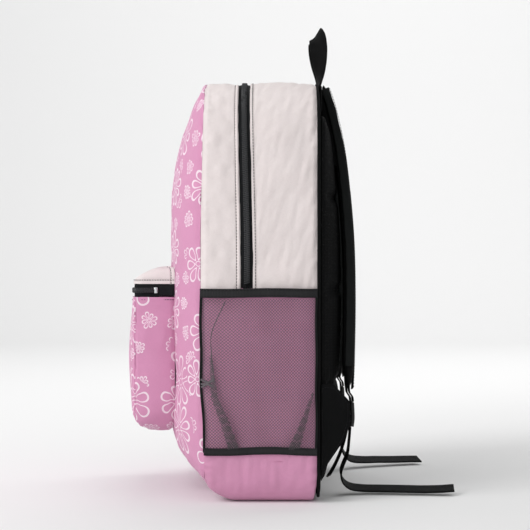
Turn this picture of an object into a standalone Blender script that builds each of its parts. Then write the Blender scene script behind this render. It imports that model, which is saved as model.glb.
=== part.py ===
"""School backpack: a soft bag with a zipped front opening, a zipped front pocket, two net side
pockets, a padded back, two padded shoulder straps with ladder-lock adjusters, and a haul loop.

Frame, in metres: +Z up, the front pocket faces -Y, the wearer's back is towards +Y and the wearer's
right side is +X. The origin is on the floor under the middle of the base.
"""

import math

import bmesh
import bpy
import numpy as np
from mathutils import Vector

# Driving dimensions of the bag body
WIDTH = 0.300  # across the wearer's back
HEIGHT = 0.450
FRONT_SEAM_Y = -0.0607  # where the domed front panel meets the side gusset
REAR_SEAM_Y = 0.0597  # where the side gusset meets the back
TOP_RADIUS = 0.065
BASE_RADIUS = 0.025
SKIN = 0.003  # lined and padded fabric
GAP = 0.0003  # clearance between two solids that touch
FRONT_DOME = 0.0405  # how far the front panel stands out of its seam
DOME_FALL_TOP = 0.200  # height over which the dome dies away under the top seam
DOME_FALL_BASE = 0.090
DOME_POWER = 3.5  # how quickly the dome fills out from its edges
FRONT_LIFT = 0.020  # how far the base rises at its front seam
REAR_LIFT = 0.005
FLAT_BASE_Y = (-0.025, 0.056)  # the stretch of the base that lies on the floor
BASE_TOP_Z = 0.047  # seam between the base and the side panels

# Main opening
ZIP_Y = -0.0174  # centre line of the main zip
ZIP_HALF = 0.0064  # half the visible width of the zip
COIL_HALF = 0.0030
COIL_PROUD = 0.0012
ZIP_SUNK = 0.0008
OPENING_LOW_Z = 0.2295  # where the zip ends, at the mouth of the side pockets
FOLD_LOW_Z = 0.2485  # the fixed lower front ends here
FOLD_HIGH_Z = 0.2650  # the folding upper front starts here
FLAP_PIVOT = (0.0, -0.092, 0.258)
SLIDER_START_X = 0.0075  # each main slider, from the middle of the top

# Front pocket
POCKET_HALF = 0.100
POCKET_LOW_Z = 0.070
POCKET_TOP_Z = 0.2505
POCKET_FRONT_Y = -0.1390
POCKET_DOME = 0.0085
POCKET_RADIUS = 0.030
POCKET_TURN = (0.018, 0.024)  # how far, and over what height, its face turns under
POCKET_ZIP_LOW_Z = 0.2172
POCKET_ZIP_HIGH_Z = 0.2320
POCKET_ZIP_Z = 0.2245  # the middle of the coil
POCKET_ZIP_PART_Z = 0.2288  # the lid lifts away above the slider
POCKET_CORNER = 0.012
LID_Y = -0.1110  # the lid folds up along this line
LID_PIVOT = (0.0, LID_Y, POCKET_TOP_Z)
POCKET_WALL = 0.0025
POCKET_SLIDER_X = -0.082

# Side pockets
NET_PLAY = 0.0065  # how far the net stands off the side
NET_THICK = 0.0012
NET_LOW_Z = 0.058
NET_HIGH_Z = 0.217
NET_TOP_Z = 0.227
BINDING = 0.0020

# Sliders
BRIDGE_HIGH = 0.0027  # height of a pull's hinge over its slider's plate

# Carrying parts
STRAP_X = 0.064  # where a strap leaves the top seam
STRAP_PIVOT_Y, STRAP_PIVOT_Z = 0.0680, 0.4470
LOCK_Y = 0.0990
LOCK_HALF_THICK = 0.0022
LOCK_TOP_Z, LOCK_LOW_Z = 0.1035, 0.0775
LOCK_X = 0.100
WEB = 0.0020  # thickness of the webbing
WEB_WIDE = 0.020
STRAP_LOOP_WIDE, STRAP_LOOP_THICK = 0.022, 0.0034
HAUL_PIVOT = (0.0, 0.0665, 0.4525)
HAUL_WIDE, HAUL_THICK = 0.019, 0.0024

PALE = (0.86, 0.80, 0.79)
PINK = (0.66, 0.29, 0.47)
PRINT_PINK = (0.67, 0.30, 0.49)
BLACK = (0.012, 0.013, 0.014)
NET_BLACK = (0.02, 0.022, 0.023)
LINING = (0.045, 0.045, 0.050)
FOAM = (0.30, 0.30, 0.31)
STEEL = (0.55, 0.56, 0.57)

SIDES = {"right": 1, "left": -1}
pivots = {}


# ---------------------------------------------------------------- scene and object helpers


def clear_scene():
    for thing in list(bpy.data.objects):
        bpy.data.objects.remove(thing, do_unlink=True)


def pivot(body, where, parent=None):
    """An empty on a joint's axis, which the pieces of one moving body hang from."""
    empty = bpy.data.objects.new("pivot_" + body, None)
    empty.empty_display_size = 0.02
    bpy.context.collection.objects.link(empty)
    origin = Vector(pivots[parent][1]) if parent else Vector((0, 0, 0))
    if parent:
        empty.parent = pivots[parent][0]
    empty.location = Vector(where) - origin
    pivots[body] = (empty, tuple(where))


def finish_mesh(name, mesh, colour, roughness, metallic, body, smooth):
    material = bpy.data.materials.new(name)
    material.use_nodes = True
    shader = material.node_tree.nodes["Principled BSDF"]
    shader.inputs["Base Color"].default_value = (*colour, 1)
    shader.inputs["Roughness"].default_value = roughness
    shader.inputs["Metallic"].default_value = metallic
    mesh.materials.append(material)
    if smooth:
        mesh.shade_smooth()
        mesh.set_sharp_from_angle(angle=math.radians(35))
    thing = bpy.data.objects.new(name, mesh)
    bpy.context.collection.objects.link(thing)
    if body:
        thing.parent = pivots[body][0]
    return thing


def solid(name, verts, faces, colour, body=None, roughness=0.85, metallic=0.0, smooth=True):
    """One closed body from world-space points, hung from its body's pivot."""
    origin = Vector(pivots[body][1]) if body else Vector((0, 0, 0))
    mesh = bpy.data.meshes.new(name)
    mesh.from_pydata([Vector(v) - origin for v in verts], [], faces)
    edit = bmesh.new()
    edit.from_mesh(mesh)
    bmesh.ops.recalc_face_normals(edit, faces=edit.faces)
    edit.to_mesh(mesh)
    edit.free()
    return finish_mesh(name, mesh, colour, roughness, metallic, body, smooth)


# ---------------------------------------------------------------- shape helpers


def loft(rings, closed=False):
    """Points and faces of a skin over rings of equal size, with end caps unless it runs in a loop."""
    size, count = len(rings[0]), len(rings)
    verts = [p for ring in rings for p in ring]
    faces = []
    for i in range(count if closed else count - 1):
        a, b = i * size, (i + 1) % count * size
        for j in range(size):
            k = (j + 1) % size
            faces.append((a + j, a + k, b + k, b + j))
    if not closed:
        faces.append(tuple(range(size)))
        faces.append(tuple((count - 1) * size + j for j in range(size)))
    return verts, faces


def shell(outer, inner):
    """Points and faces of a closed sheet between two grids of points of the same size."""
    rows, cols = len(outer), len(outer[0])
    verts = [p for row in outer for p in row] + [p for row in inner for p in row]
    back = rows * cols
    faces = []
    for i in range(rows - 1):
        for j in range(cols - 1):
            a = i * cols + j
            quad = (a, a + 1, a + cols + 1, a + cols)
            faces.append(quad)
            faces.append(tuple(back + v for v in reversed(quad)))
    rim = [j for j in range(cols)]
    rim += [i * cols + cols - 1 for i in range(1, rows)]
    rim += [(rows - 1) * cols + j for j in range(cols - 2, -1, -1)]
    rim += [i * cols for i in range(rows - 2, 0, -1)]
    for a, b in zip(rim, rim[1:] + rim[:1]):
        faces.append((a, b, back + b, back + a))
    return verts, faces


def box(low, high):
    (x0, y0, z0), (x1, y1, z1) = low, high
    ring = [(x0, y0), (x1, y0), (x1, y1), (x0, y1)]
    return loft([[(x, y, z) for x, y in ring] for z in (z0, z1)])


def blocks(xs, ys, zs, filled):
    """A closed solid from the filled cells (i, j, k) between cuts along three axes."""
    cells = set(filled)
    verts, index, faces = [], {}, []

    def corner(i, j, k):
        key = (i, j, k)
        if key not in index:
            index[key] = len(verts)
            verts.append((xs[i], ys[j], zs[k]))
        return index[key]

    for i, j, k in sorted(cells):
        for axis in range(3):
            for step in (0, 1):
                near = [i, j, k]
                near[axis] += 1 if step else -1
                if tuple(near) in cells:
                    continue
                quad = []
                for a, b in ((0, 0), (1, 0), (1, 1), (0, 1)):
                    at = [i, j, k]
                    at[axis] += step
                    at[(axis + 1) % 3] += a
                    at[(axis + 2) % 3] += b
                    quad.append(corner(*at))
                faces.append(tuple(quad if step else reversed(quad)))
    return verts, faces


def turned(points, origin, u, v, n):
    """Points given along u, v and n from an origin, in world space."""
    origin, u, v, n = Vector(origin), Vector(u), Vector(v), Vector(n)
    return [origin + u * p[0] + v * p[1] + n * p[2] for p in points]


def smooth_curve(points, count):
    """Evenly spaced points on a Catmull-Rom curve through the given ones."""
    p = np.array(points, dtype=float)
    p = np.vstack([2 * p[0] - p[1], p, 2 * p[-1] - p[-2]])
    fine = []
    for a, b, c, d in zip(p, p[1:], p[2:], p[3:]):
        for t in np.linspace(0, 1, 12, endpoint=False):
            cubic = (2 * a - 5 * b + 4 * c - d) * t**2 + (3 * b - a - 3 * c + d) * t**3
            fine.append((2 * b + (c - a) * t + cubic) / 2)
    fine = np.array(fine + [p[-2]])
    along = np.concatenate([[0], np.cumsum(np.linalg.norm(np.diff(fine, axis=0), axis=1))])
    even = np.linspace(0, along[-1], count)
    return np.column_stack([np.interp(even, along, fine[:, k]) for k in range(3)])


def ribbon(path, widths, across, thick):
    """A flat strip along a path. across holds the direction of its width at each point."""
    path = np.array(path)
    ahead = np.gradient(path, axis=0)
    rings = []
    for p, t, w, a in zip(path, ahead, widths, across):
        t = t / np.linalg.norm(t)
        a = np.array(a, dtype=float)
        a = a - t * a.dot(t)
        a = a / np.linalg.norm(a)
        n = np.cross(t, a)
        corners = ((-1, -1), (1, -1), (1, 1), (-1, 1))
        rings.append([tuple(p + a * s * w / 2 + n * r * thick / 2) for s, r in corners])
    return loft(rings)


def rounded_slab(points, low, high, direction):
    """A plate whose outline is given in two dimensions, between two levels along the third."""
    place = {
        "x": lambda a, b, c: (c, a, b),
        "y": lambda a, b, c: (a, c, b),
        "z": lambda a, b, c: (a, b, c),
    }[direction]
    return loft([[place(a, b, c) for a, b in points] for c in (low, high)])


def arc(centre, radius, start, end, steps):
    """Points of an arc in degrees, both ends included."""
    angles = [math.radians(start + (end - start) * i / steps) for i in range(steps + 1)]
    return [(centre[0] + radius * math.cos(a), centre[1] + radius * math.sin(a)) for a in angles]


# ---------------------------------------------------------------- the bag's outline and surfaces


def arch(inset, low_z, steps=7):
    """The outline from low on the right side, over the top, to low on the left side."""
    half, top, r = WIDTH / 2 - inset, HEIGHT - inset, TOP_RADIUS - inset
    right = arc((half - r, top - r), r, 0, 90, steps)
    side = [(half, z) for z in np.linspace(low_z, top - r, 5)[:-1]]
    over = [(x, top) for x in np.linspace(half - r, 0, 4)[1:]]
    path = side + right + over
    return path + [(-x, z) for x, z in reversed(path[:-1])]


def cradle(inset, high_z, half=WIDTH / 2, low=0.0, radius=BASE_RADIUS, steps=5):
    """An outline from high on the right side, under the bottom, to high on the left side."""
    half, low, r = half - inset, low + inset, radius - inset
    path = [(half, z) for z in np.linspace(high_z, low + r, 5)[:-1]]
    path += arc((half - r, low + r), r, 0, -90, steps)
    path += [(x, low) for x in np.linspace(half - r, 0, 4)[1:]]
    return path + [(-x, z) for x, z in reversed(path[:-1])]


def base_lift(y):
    """How far the base stands off the floor at a depth."""
    if y < FLAT_BASE_Y[0]:
        return FRONT_LIFT * ((y - FLAT_BASE_Y[0]) / (FRONT_SEAM_Y - FLAT_BASE_Y[0])) ** 2
    if y > FLAT_BASE_Y[1]:
        return REAR_LIFT * ((y - FLAT_BASE_Y[1]) / (REAR_SEAM_Y - FLAT_BASE_Y[1])) ** 2
    return 0.0


def lifted(z, y):
    """A height near the base, moved up with the base and unchanged from its upper seam on."""
    return z + base_lift(y) * max(0.0, 1 - z / BASE_TOP_Z)


def half_width(z):
    """Half the width of the front panel at a height."""
    half = WIDTH / 2
    if z > HEIGHT - TOP_RADIUS:
        rise = z - (HEIGHT - TOP_RADIUS)
        return half - TOP_RADIUS + math.sqrt(max(0.0, TOP_RADIUS**2 - rise**2))
    if z < FRONT_LIFT + BASE_RADIUS:
        drop = FRONT_LIFT + BASE_RADIUS - z
        return half - BASE_RADIUS + math.sqrt(max(0.0, BASE_RADIUS**2 - drop**2))
    return half


def front_y(x, z):
    """The outer surface of the domed front panel."""
    top = 1 - max(0.0, 1 - (HEIGHT - z) / DOME_FALL_TOP) ** DOME_POWER
    base = 1 - max(0.0, 1 - (z - FRONT_LIFT) / DOME_FALL_BASE) ** DOME_POWER
    side = 1 - min(1.0, abs(x) / half_width(z)) ** 4
    return FRONT_SEAM_Y - FRONT_DOME * top * base * side


def across_steps(count):
    """Positions from -1 to 1, closer together towards the ends."""
    return [math.sin(math.pi / 2 * i / count) for i in range(-count, count + 1)]


# ---------------------------------------------------------------- bag body


def front_panels():
    lower = [0.020, 0.0215, 0.026, 0.034, 0.045, 0.065, 0.09, 0.12, 0.16, 0.20, FOLD_LOW_Z]
    upper = [FOLD_HIGH_Z, 0.29, 0.32, 0.35, 0.385, 0.405, 0.422, 0.435, 0.444, 0.4485, HEIGHT]
    for name, heights, body in (
        ("front_panel_lower", lower, None),
        ("front_panel_upper", upper, "front_flap"),
    ):
        outer, inner = [], []
        for z in heights:
            xs = [half_width(z) * s for s in across_steps(6)]
            outer.append([(x, front_y(x, z), z) for x in xs])
            inner.append([(x, front_y(x, z) + SKIN, z) for x in xs])
        solid(name, *shell(outer, inner), PRINT_PINK, body)


def base():
    depths = [FRONT_SEAM_Y + SKIN + GAP, -0.050, -0.042, -0.033, *FLAT_BASE_Y, REAR_SEAM_Y]
    sheets = []
    for inset in (0.0, SKIN):
        path = cradle(inset, BASE_TOP_Z)
        sheets.append([[(x, y, lifted(z, y)) for y in depths] for x, z in path])
    solid("base_panel", *shell(*sheets), PINK)
    solid("base_stiffener", *box((-0.118, -0.020, 0.0034), (0.118, 0.054, 0.0059)), FOAM)


def sides():
    front = FRONT_SEAM_Y + SKIN + GAP
    for side, s in SIDES.items():
        x = sorted((s * (WIDTH / 2 - SKIN), s * WIDTH / 2))
        low = (x[0], front, BASE_TOP_Z + GAP)
        solid("side_panel_" + side, *box(low, (x[1], REAR_SEAM_Y, OPENING_LOW_Z - GAP)), PINK)
        foot = (x[0], front, OPENING_LOW_Z)
        solid("gusset_foot_" + side, *box(foot, (x[1], ZIP_Y - ZIP_HALF - GAP, FOLD_LOW_Z)), PALE)


def arch_strip(y0, y1, low_z, depth=0.0):
    """A strip of the gusset between two depths, sunk below its surface by depth."""
    outer, inner = arch(depth, low_z), arch(SKIN, low_z)
    rings = []
    for (xo, zo), (xi, zi) in zip(outer, inner):
        rings.append([(xo, y0, zo), (xo, y1, zo), (xi, y1, zi), (xi, y0, zi)])
    return loft(rings)


def gussets():
    rear = ZIP_Y + ZIP_HALF + GAP
    solid("gusset_rear", *arch_strip(rear, REAR_SEAM_Y, OPENING_LOW_Z), PALE)
    front = (FRONT_SEAM_Y + SKIN + GAP, ZIP_Y - ZIP_HALF - GAP)
    solid("gusset_front", *arch_strip(*front, FOLD_HIGH_Z), PALE, "front_flap")


def zip_section(way):
    """Half of the zip across its width: (depth, how far below the gusset's surface)."""
    y = [ZIP_Y + way * d for d in (GAP / 2, COIL_HALF, ZIP_HALF)]
    return [
        (y[0], SKIN),
        (y[0], -COIL_PROUD),
        (y[1], -COIL_PROUD),
        (y[1], ZIP_SUNK),
        (y[2], ZIP_SUNK),
        (y[2], SKIN),
    ]


def main_zip():
    for name, way, low_z, body in (
        ("main_zip_rear_half", 1, OPENING_LOW_Z, None),
        ("main_zip_front_half", -1, FOLD_HIGH_Z, "front_flap"),
    ):
        section = zip_section(way)
        paths = [arch(depth, low_z) for _, depth in section]
        rings = [
            [(path[i][0], y, path[i][1]) for (y, _), path in zip(section, paths)]
            for i in range(len(paths[0]))
        ]
        solid(name, *loft(rings), BLACK, body)
    for side, s in SIDES.items():
        rings = [
            [(s * (WIDTH / 2 - depth), y, z) for y, depth in zip_section(-1)]
            for z in (OPENING_LOW_Z, FOLD_LOW_Z)
        ]
        solid("main_zip_foot_" + side, *loft(rings), BLACK)


def slider(name, body, origin, u, v, n, half_across):
    """A zip slider: a plate over the coil with a bridge for its pull."""
    xs = [-0.0055, -0.0042, -0.0028, 0.0028, 0.0042, 0.0055]
    ys = [-half_across, -0.0016, 0.0016, half_across]
    zs = [0.0, 0.0016, 0.0038, 0.0050]
    cells = [(i, j, 0) for i in range(5) for j in range(3)]
    cells += [(1, 1, 1), (3, 1, 1)] + [(i, 1, 2) for i in range(1, 4)]
    verts, faces = blocks(xs, ys, zs, cells)
    verts = turned(verts, origin, u, v, n)
    solid(name, verts, faces, BLACK, body, roughness=0.4, smooth=False)


def pull(name, body, origin, u, v, n):
    """A zip pull lying along u: a bar through the slider's bridge, two arms and a tab."""
    xs = [-0.0007, 0.0007, 0.0062, 0.0085, 0.0340, 0.0380]
    ys = [-0.0040, -0.0032, -0.0021, 0.0021, 0.0032, 0.0040]
    zs = [-0.0007, 0.0007]
    cells = [(0, j, 0) for j in range(1, 4)]
    cells += [(1, j, 0) for j in (1, 3)]
    cells += [(2, j, 0) for j in range(1, 4)]
    cells += [(3, j, 0) for j in range(5)]
    cells += [(4, j, 0) for j in range(1, 4)]
    verts, faces = blocks(xs, ys, zs, cells)
    verts = turned(verts, origin, u, v, n)
    solid(name, verts, faces, BLACK, body, roughness=0.5, smooth=False)


def main_sliders():
    plate_z = HEIGHT + COIL_PROUD + GAP
    for side, s in SIDES.items():
        at = (s * SLIDER_START_X, ZIP_Y, plate_z)
        hinge = (at[0], at[1], plate_z + BRIDGE_HIGH)
        pivot("slider_" + side, at)
        pivot("pull_" + side, hinge, "slider_" + side)
        slider("main_slider_" + side, "slider_" + side, at, (1, 0, 0), (0, 1, 0), (0, 0, 1), 0.0045)
        pull("main_pull_" + side, "pull_" + side, hinge, (s, 0, 0), (0, s, 0), (0, 0, 1))


# ---------------------------------------------------------------- back


def back():
    half, low, top = WIDTH / 2 - 0.0025, 0.0075, HEIGHT - 0.0025
    low_r = BASE_RADIUS - 0.0025
    outline = [(half, low + low_r)]
    outline += arc((half - TOP_RADIUS, top - TOP_RADIUS), TOP_RADIUS, 0, 90, 8)
    outline += [(-x, z) for x, z in reversed(outline)]
    outline += [(-x, z) for x, z in arc((half - low_r, low + low_r), low_r, 0, -90, 4)[1:]]
    outline += arc((half - low_r, low + low_r), low_r, -90, 0, 4)[:-1]
    solid("back_board", *rounded_slab(outline, 0.0605, 0.0635, "y"), FOAM)
    heights = [0.020, 0.030, 0.050, 0.085, 0.13, 0.18, 0.23, 0.28, 0.33, 0.37, 0.395, 0.408, 0.414]
    outer, inner = [], []
    for z in heights:
        row_outer, row_inner = [], []
        for s in across_steps(5):
            rise = math.sin(math.pi * min(1.0, (z - 0.005) / 0.42)) ** 0.55
            edge = (1 - abs(s) ** 5) * min(1.0, (z - 0.016) / 0.03) * min(1.0, (0.418 - z) / 0.02)
            x = s * 0.140
            row_outer.append((x, 0.0638 + 0.0035 + 0.0220 * rise * max(0.0, edge), z))
            row_inner.append((x, 0.0638, z))
        outer.append(row_outer)
        inner.append(row_inner)
    solid("back_pad", *shell(outer, inner), BLACK)
    solid("strap_yoke", *box((-0.112, 0.0638, 0.4185), (0.112, 0.0658, 0.4460)), BLACK)
    piping()


def piping():
    """The corded seam all the way round the back."""
    radius, inset, y = 0.0015, 0.0005, 0.0615
    top = arch(inset, 0.050)
    bottom = cradle(inset, 0.050, low=0.004)
    path = top[:-1] + [(-x, z) for x, z in bottom][:-1]
    rings = []
    for i, (x, z) in enumerate(path):
        (ax, az), (bx, bz) = path[i - 1], path[(i + 1) % len(path)]
        run = Vector((bx - ax, 0, bz - az)).normalized()
        out = run.cross(Vector((0, 1, 0)))
        ring = []
        for k in range(6):
            turn = math.radians(60 * k)
            spoke = out * math.cos(turn) + Vector((0, math.sin(turn), 0))
            ring.append(Vector((x, y, z)) + radius * spoke)
        rings.append(ring)
    solid("rear_piping", *loft(rings, closed=True), BLACK)


def laptop_sleeve():
    half, low, top = 0.128, 0.0120, 0.330
    solid("laptop_sleeve", *box((-half, 0.0440, low), (half, 0.0470, top)), LINING)
    outer = [(half, top), (half, low), (-half, low), (-half, top)]
    inner = [(half - 0.0025, top), (half - 0.0025, low + 0.0025)]
    inner += [(-x, z) for x, z in reversed(inner)]
    rings = []
    for (xo, zo), (xi, zi) in zip(outer, inner):
        rings.append([(xo, 0.0473, zo), (xo, 0.0602, zo), (xi, 0.0602, zi), (xi, 0.0473, zi)])
    solid("sleeve_gusset", *loft(rings), LINING, smooth=False)
    over = [(0.0588, 0.372), (0.0580, 0.352), (0.0525, 0.3375)]
    over += [(0.0455, 0.3342), (0.0414, 0.3275), (0.0412, 0.298)]
    path = smooth_curve([(0, y, z) for y, z in over], 14)
    solid("sleeve_tab", *ribbon(path, [0.038] * 14, [(1, 0, 0)] * 14, 0.0015), BLACK)


# ---------------------------------------------------------------- side pockets


def net_x(y, z):
    """How far the net stands off the side panel."""
    along = min(1.0, abs(y / 0.0595))
    rise = min(1.0, max(0.0, (z - NET_LOW_Z) / 0.040))
    return NET_PLAY * (1 - along**4) * (1 - (1 - rise) ** 2)


def side_pockets():
    depths = [0.0595 * s for s in across_steps(6)]
    net_heights = [NET_LOW_Z + GAP, 0.066, 0.076, 0.088, 0.100, 0.150, NET_HIGH_Z - GAP]
    bands = {
        "net": (net_heights, NET_THICK, NET_BLACK),
        "elastic": ([NET_HIGH_Z, NET_TOP_Z], BINDING, BLACK),
        "hem": ([BASE_TOP_Z + GAP, NET_LOW_Z], BINDING, BLACK),
    }
    for side, s in SIDES.items():
        for band, (heights, thick, colour) in bands.items():
            rows = []
            for off in (thick, 0.0):
                base_x = WIDTH / 2 + GAP + off
                rows.append([[(s * (base_x + net_x(y, z)), y, z) for y in depths] for z in heights])
            solid(f"side_pocket_{band}_{side}", *shell(*rows), colour)


# ---------------------------------------------------------------- front pocket


def pocket_front_outline(z):
    """Half the width of the front pocket at a height."""
    drop = POCKET_LOW_Z + POCKET_RADIUS - z
    if drop <= 0:
        return POCKET_HALF
    return POCKET_HALF - POCKET_RADIUS + math.sqrt(max(0.0, POCKET_RADIUS**2 - drop**2))


def pocket_seam_y(z):
    """The depth of the pocket's front seam, which turns under at the bottom."""
    depth, height = POCKET_TURN
    t = min(1.0, max(0.0, 1 - (z - POCKET_LOW_Z) / height))
    return POCKET_FRONT_Y + depth * (1 - math.sqrt(1 - t * t))


def front_pocket():
    high = POCKET_ZIP_LOW_Z - GAP
    outer = cradle(0.0, high, POCKET_HALF, POCKET_LOW_Z, POCKET_RADIUS, steps=6)
    inner = cradle(POCKET_WALL, high, POCKET_HALF, POCKET_LOW_Z, POCKET_RADIUS, steps=6)
    rings = []
    for (xo, zo), (xi, zi) in zip(outer, inner):
        rear = front_y(xo, zo) - 2 * GAP
        rear_in = min(rear, front_y(xi, zi) - 2 * GAP)
        face, face_in = (pocket_seam_y(z) + POCKET_WALL + 2 * GAP for z in (zo, zi))
        rings.append([(xo, face, zo), (xo, rear, zo), (xi, rear_in, zi), (xi, face_in, zi)])
    solid("pocket_gusset", *loft(rings), PRINT_PINK)
    sheets = []
    heights = [0.070, 0.0712, 0.0745, 0.080, 0.087, 0.096, 0.112, 0.135, 0.160, 0.185, 0.205, high]
    for off in (0.0, POCKET_WALL):
        rows = []
        for z in heights:
            half = pocket_front_outline(z)
            rise = math.sin(math.pi * min(1.0, max(0.0, (z - 0.068) / 0.160))) ** 0.7
            row = []
            for t in across_steps(5):
                dome = POCKET_DOME * rise * (1 - abs(t) ** 4)
                row.append((half * t, pocket_seam_y(z) - dome + off, z))
            rows.append(row)
        sheets.append(rows)
    solid("pocket_front", *shell(*sheets), PRINT_PINK)


def pocket_plan(inset, rear_y=LID_Y):
    """The zip's path round the pocket, seen from above, from the right side to the left."""
    half, front, r = POCKET_HALF - inset, POCKET_FRONT_Y + inset, POCKET_CORNER - inset
    path = [(half, rear_y)] + arc((half - r, front + r), r, 0, -90, 4)
    path += [(0.0, front)]
    return path + [(-x, y) for x, y in reversed(path[:-1])]


def pocket_band(z0, z1, coil_z):
    """Half of the pocket's zip: a tape with its coil along the edge at coil_z."""
    coil, proud, thick = 0.0024, 0.0008, 0.002
    if coil_z == z1:
        levels = [(z0, 0.0), (z1 - coil, 0.0), (z1 - coil, -proud), (z1, -proud)]
    else:
        levels = [(z0, -proud), (z0 + coil, -proud), (z0 + coil, 0.0), (z1, 0.0)]
    levels = [(z0, thick)] + levels + [(z1, thick)]
    paths = [pocket_plan(depth) for _, depth in levels]
    rings = []
    for i in range(len(paths[0])):
        rings.append([(path[i][0], path[i][1], z) for (z, _), path in zip(levels, paths)])
    return loft(rings)


def lid_height(y):
    """The top of the pocket: level at the back, then falling to the front zip."""
    if y > LID_Y:
        return POCKET_TOP_Z
    fall = (LID_Y - y) / (LID_Y - POCKET_FRONT_Y)
    return POCKET_TOP_Z - (POCKET_TOP_Z - POCKET_ZIP_HIGH_Z - 0.0035) * fall**1.6


def hood_section(y, depth, low_z):
    """Across the pocket's top at a depth: up one side, over, and down the other."""
    front = POCKET_FRONT_Y + depth
    corner_y = front + POCKET_CORNER
    half = POCKET_HALF - depth
    if y < corner_y:
        half -= POCKET_CORNER - math.sqrt(max(0.0, POCKET_CORNER**2 - (corner_y - y) ** 2))
    top = lid_height(y) - depth
    r = min(0.010, (top - low_z) * 0.6)
    path = [(half, low_z)] + arc((half - r, top - r), r, 0, 90, 3)
    path += [(half / 3, top)]
    return [(x, y, z) for x, z in path] + [(-x, y, z) for x, z in reversed(path)]


def pocket_hood():
    """The fixed pale top behind the fold, and the lid that the zip frees."""
    low_z = POCKET_ZIP_HIGH_Z + GAP
    sheets = []
    for depth in (0.0, POCKET_WALL):
        edge = hood_section(LID_Y + GAP, depth, low_z)
        rows = []
        for share in (1.0, 0.5, 0.0):
            rows.append([(x, y + share * (front_y(x, z) - 4 * GAP - y), z) for x, y, z in edge])
        sheets.append(rows)
    solid("pocket_top", *shell(*sheets), PALE)
    sheets = []
    for depth in (0.0, POCKET_WALL):
        front = POCKET_FRONT_Y + depth
        ys = [LID_Y - GAP, -0.117, -0.122, front + 0.012, front + 0.007, front + 0.003, front]
        sheets.append([hood_section(y, depth, low_z) for y in ys])
    solid("pocket_lid", *shell(*sheets), PALE, "lid")


def pocket_zip():
    under, over = POCKET_ZIP_PART_Z - GAP / 2, POCKET_ZIP_PART_Z + GAP / 2
    solid("pocket_zip_lower_half", *pocket_band(POCKET_ZIP_LOW_Z, under, under), BLACK)
    solid("pocket_zip_upper_half", *pocket_band(over, POCKET_ZIP_HIGH_Z, over), BLACK, "lid")
    for side, s in SIDES.items():
        x = sorted((s * (POCKET_HALF - 0.002), s * (POCKET_HALF + 0.0006)))
        rear = front_y(POCKET_HALF, POCKET_ZIP_Z) - 0.0012
        low = (x[0], LID_Y + GAP, POCKET_ZIP_LOW_Z)
        solid("pocket_zip_tab_" + side, *box(low, (x[1], rear, POCKET_ZIP_HIGH_Z)), BLACK)
    low = (POCKET_HALF + 0.0011, LID_Y - 0.0052, POCKET_ZIP_Z - 0.0032)
    high = (POCKET_HALF + 0.0021, LID_Y - 0.0012, POCKET_ZIP_Z + 0.0032)
    solid("pocket_zip_stop", *box(low, high), STEEL, roughness=0.3, metallic=1.0, smooth=False)
    at = (POCKET_SLIDER_X, POCKET_FRONT_Y - 0.0011, POCKET_ZIP_Z)
    hinge = (at[0], at[1] - BRIDGE_HIGH, at[2])
    pivot("pocket_slider", at)
    pivot("pocket_pull", hinge, "pocket_slider")
    slider("pocket_slider", "pocket_slider", at, (1, 0, 0), (0, 0, 1), (0, -1, 0), 0.0036)
    pull("pocket_pull", "pocket_pull", hinge, (1, 0, 0), (0, 0, 1), (0, -1, 0))


# ---------------------------------------------------------------- carrying parts


def strap_route(s):
    """The middle of a shoulder strap's padding, from the top seam down."""
    return [
        (s * 0.0640, 0.0680, 0.4490),
        (s * 0.0650, 0.0715, 0.4410),
        (s * 0.0665, 0.0785, 0.4180),
        (s * 0.0695, 0.0882, 0.3690),
        (s * 0.0770, 0.0957, 0.2900),
        (s * 0.0850, 0.0973, 0.2200),
        (s * 0.0940, 0.0958, 0.1500),
        (s * 0.0990, 0.0942, 0.1175),
    ]


def strap_pad(side, s):
    count = 17
    path = smooth_curve(strap_route(s), count)
    ahead = np.gradient(path, axis=0)
    rings = []
    for i, (p, t) in enumerate(zip(path, ahead)):
        share = i / (count - 1)
        t = t / np.linalg.norm(t)
        across = np.array((1.0, 0.0, 0.0))
        across = across - t * across.dot(t)
        across /= np.linalg.norm(across)
        out = np.cross(across, t)
        half = (0.062 - 0.017 * max(0.0, share - 0.15) / 0.85) / 2
        thick = 0.0115 * min(1.0, 0.32 + 3.2 * share) * min(1.0, 0.5 + 6 * (1 - share)) / 2
        ring = []
        for u, v in ((1, 0), (0.9, 0.72), (0.5, 1), (-0.5, 1), (-0.9, 0.72), (-1, 0)):
            ring.append(tuple(p + across * u * half + out * v * thick))
        for u, v in ((-0.9, -0.72), (-0.5, -1), (0.5, -1), (0.9, -0.72)):
            ring.append(tuple(p + across * u * half + out * v * thick))
        rings.append(ring)
    solid("strap_pad_" + side, *loft(rings), BLACK, "strap_" + side)


def ladder_lock(side, s):
    """A plastic frame with three cross bars, which the strap's loop and the webbing pass round."""
    xs = [s * LOCK_X + d for d in (-0.0150, -0.0120, 0.0120, 0.0150)]
    ys = [LOCK_Y - LOCK_HALF_THICK, LOCK_Y + LOCK_HALF_THICK]
    zs = [LOCK_LOW_Z + d for d in (0.0, 0.004, 0.011, 0.015)]
    zs += [LOCK_TOP_Z - 0.004, LOCK_TOP_Z]
    cells = [(i, 0, k) for i in (0, 2) for k in range(5)] + [(1, 0, k) for k in (0, 2, 4)]
    verts, faces = blocks(xs, ys, zs, cells)
    solid("ladder_lock_" + side, verts, faces, BLACK, "lock_" + side, roughness=0.45, smooth=False)


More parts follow.
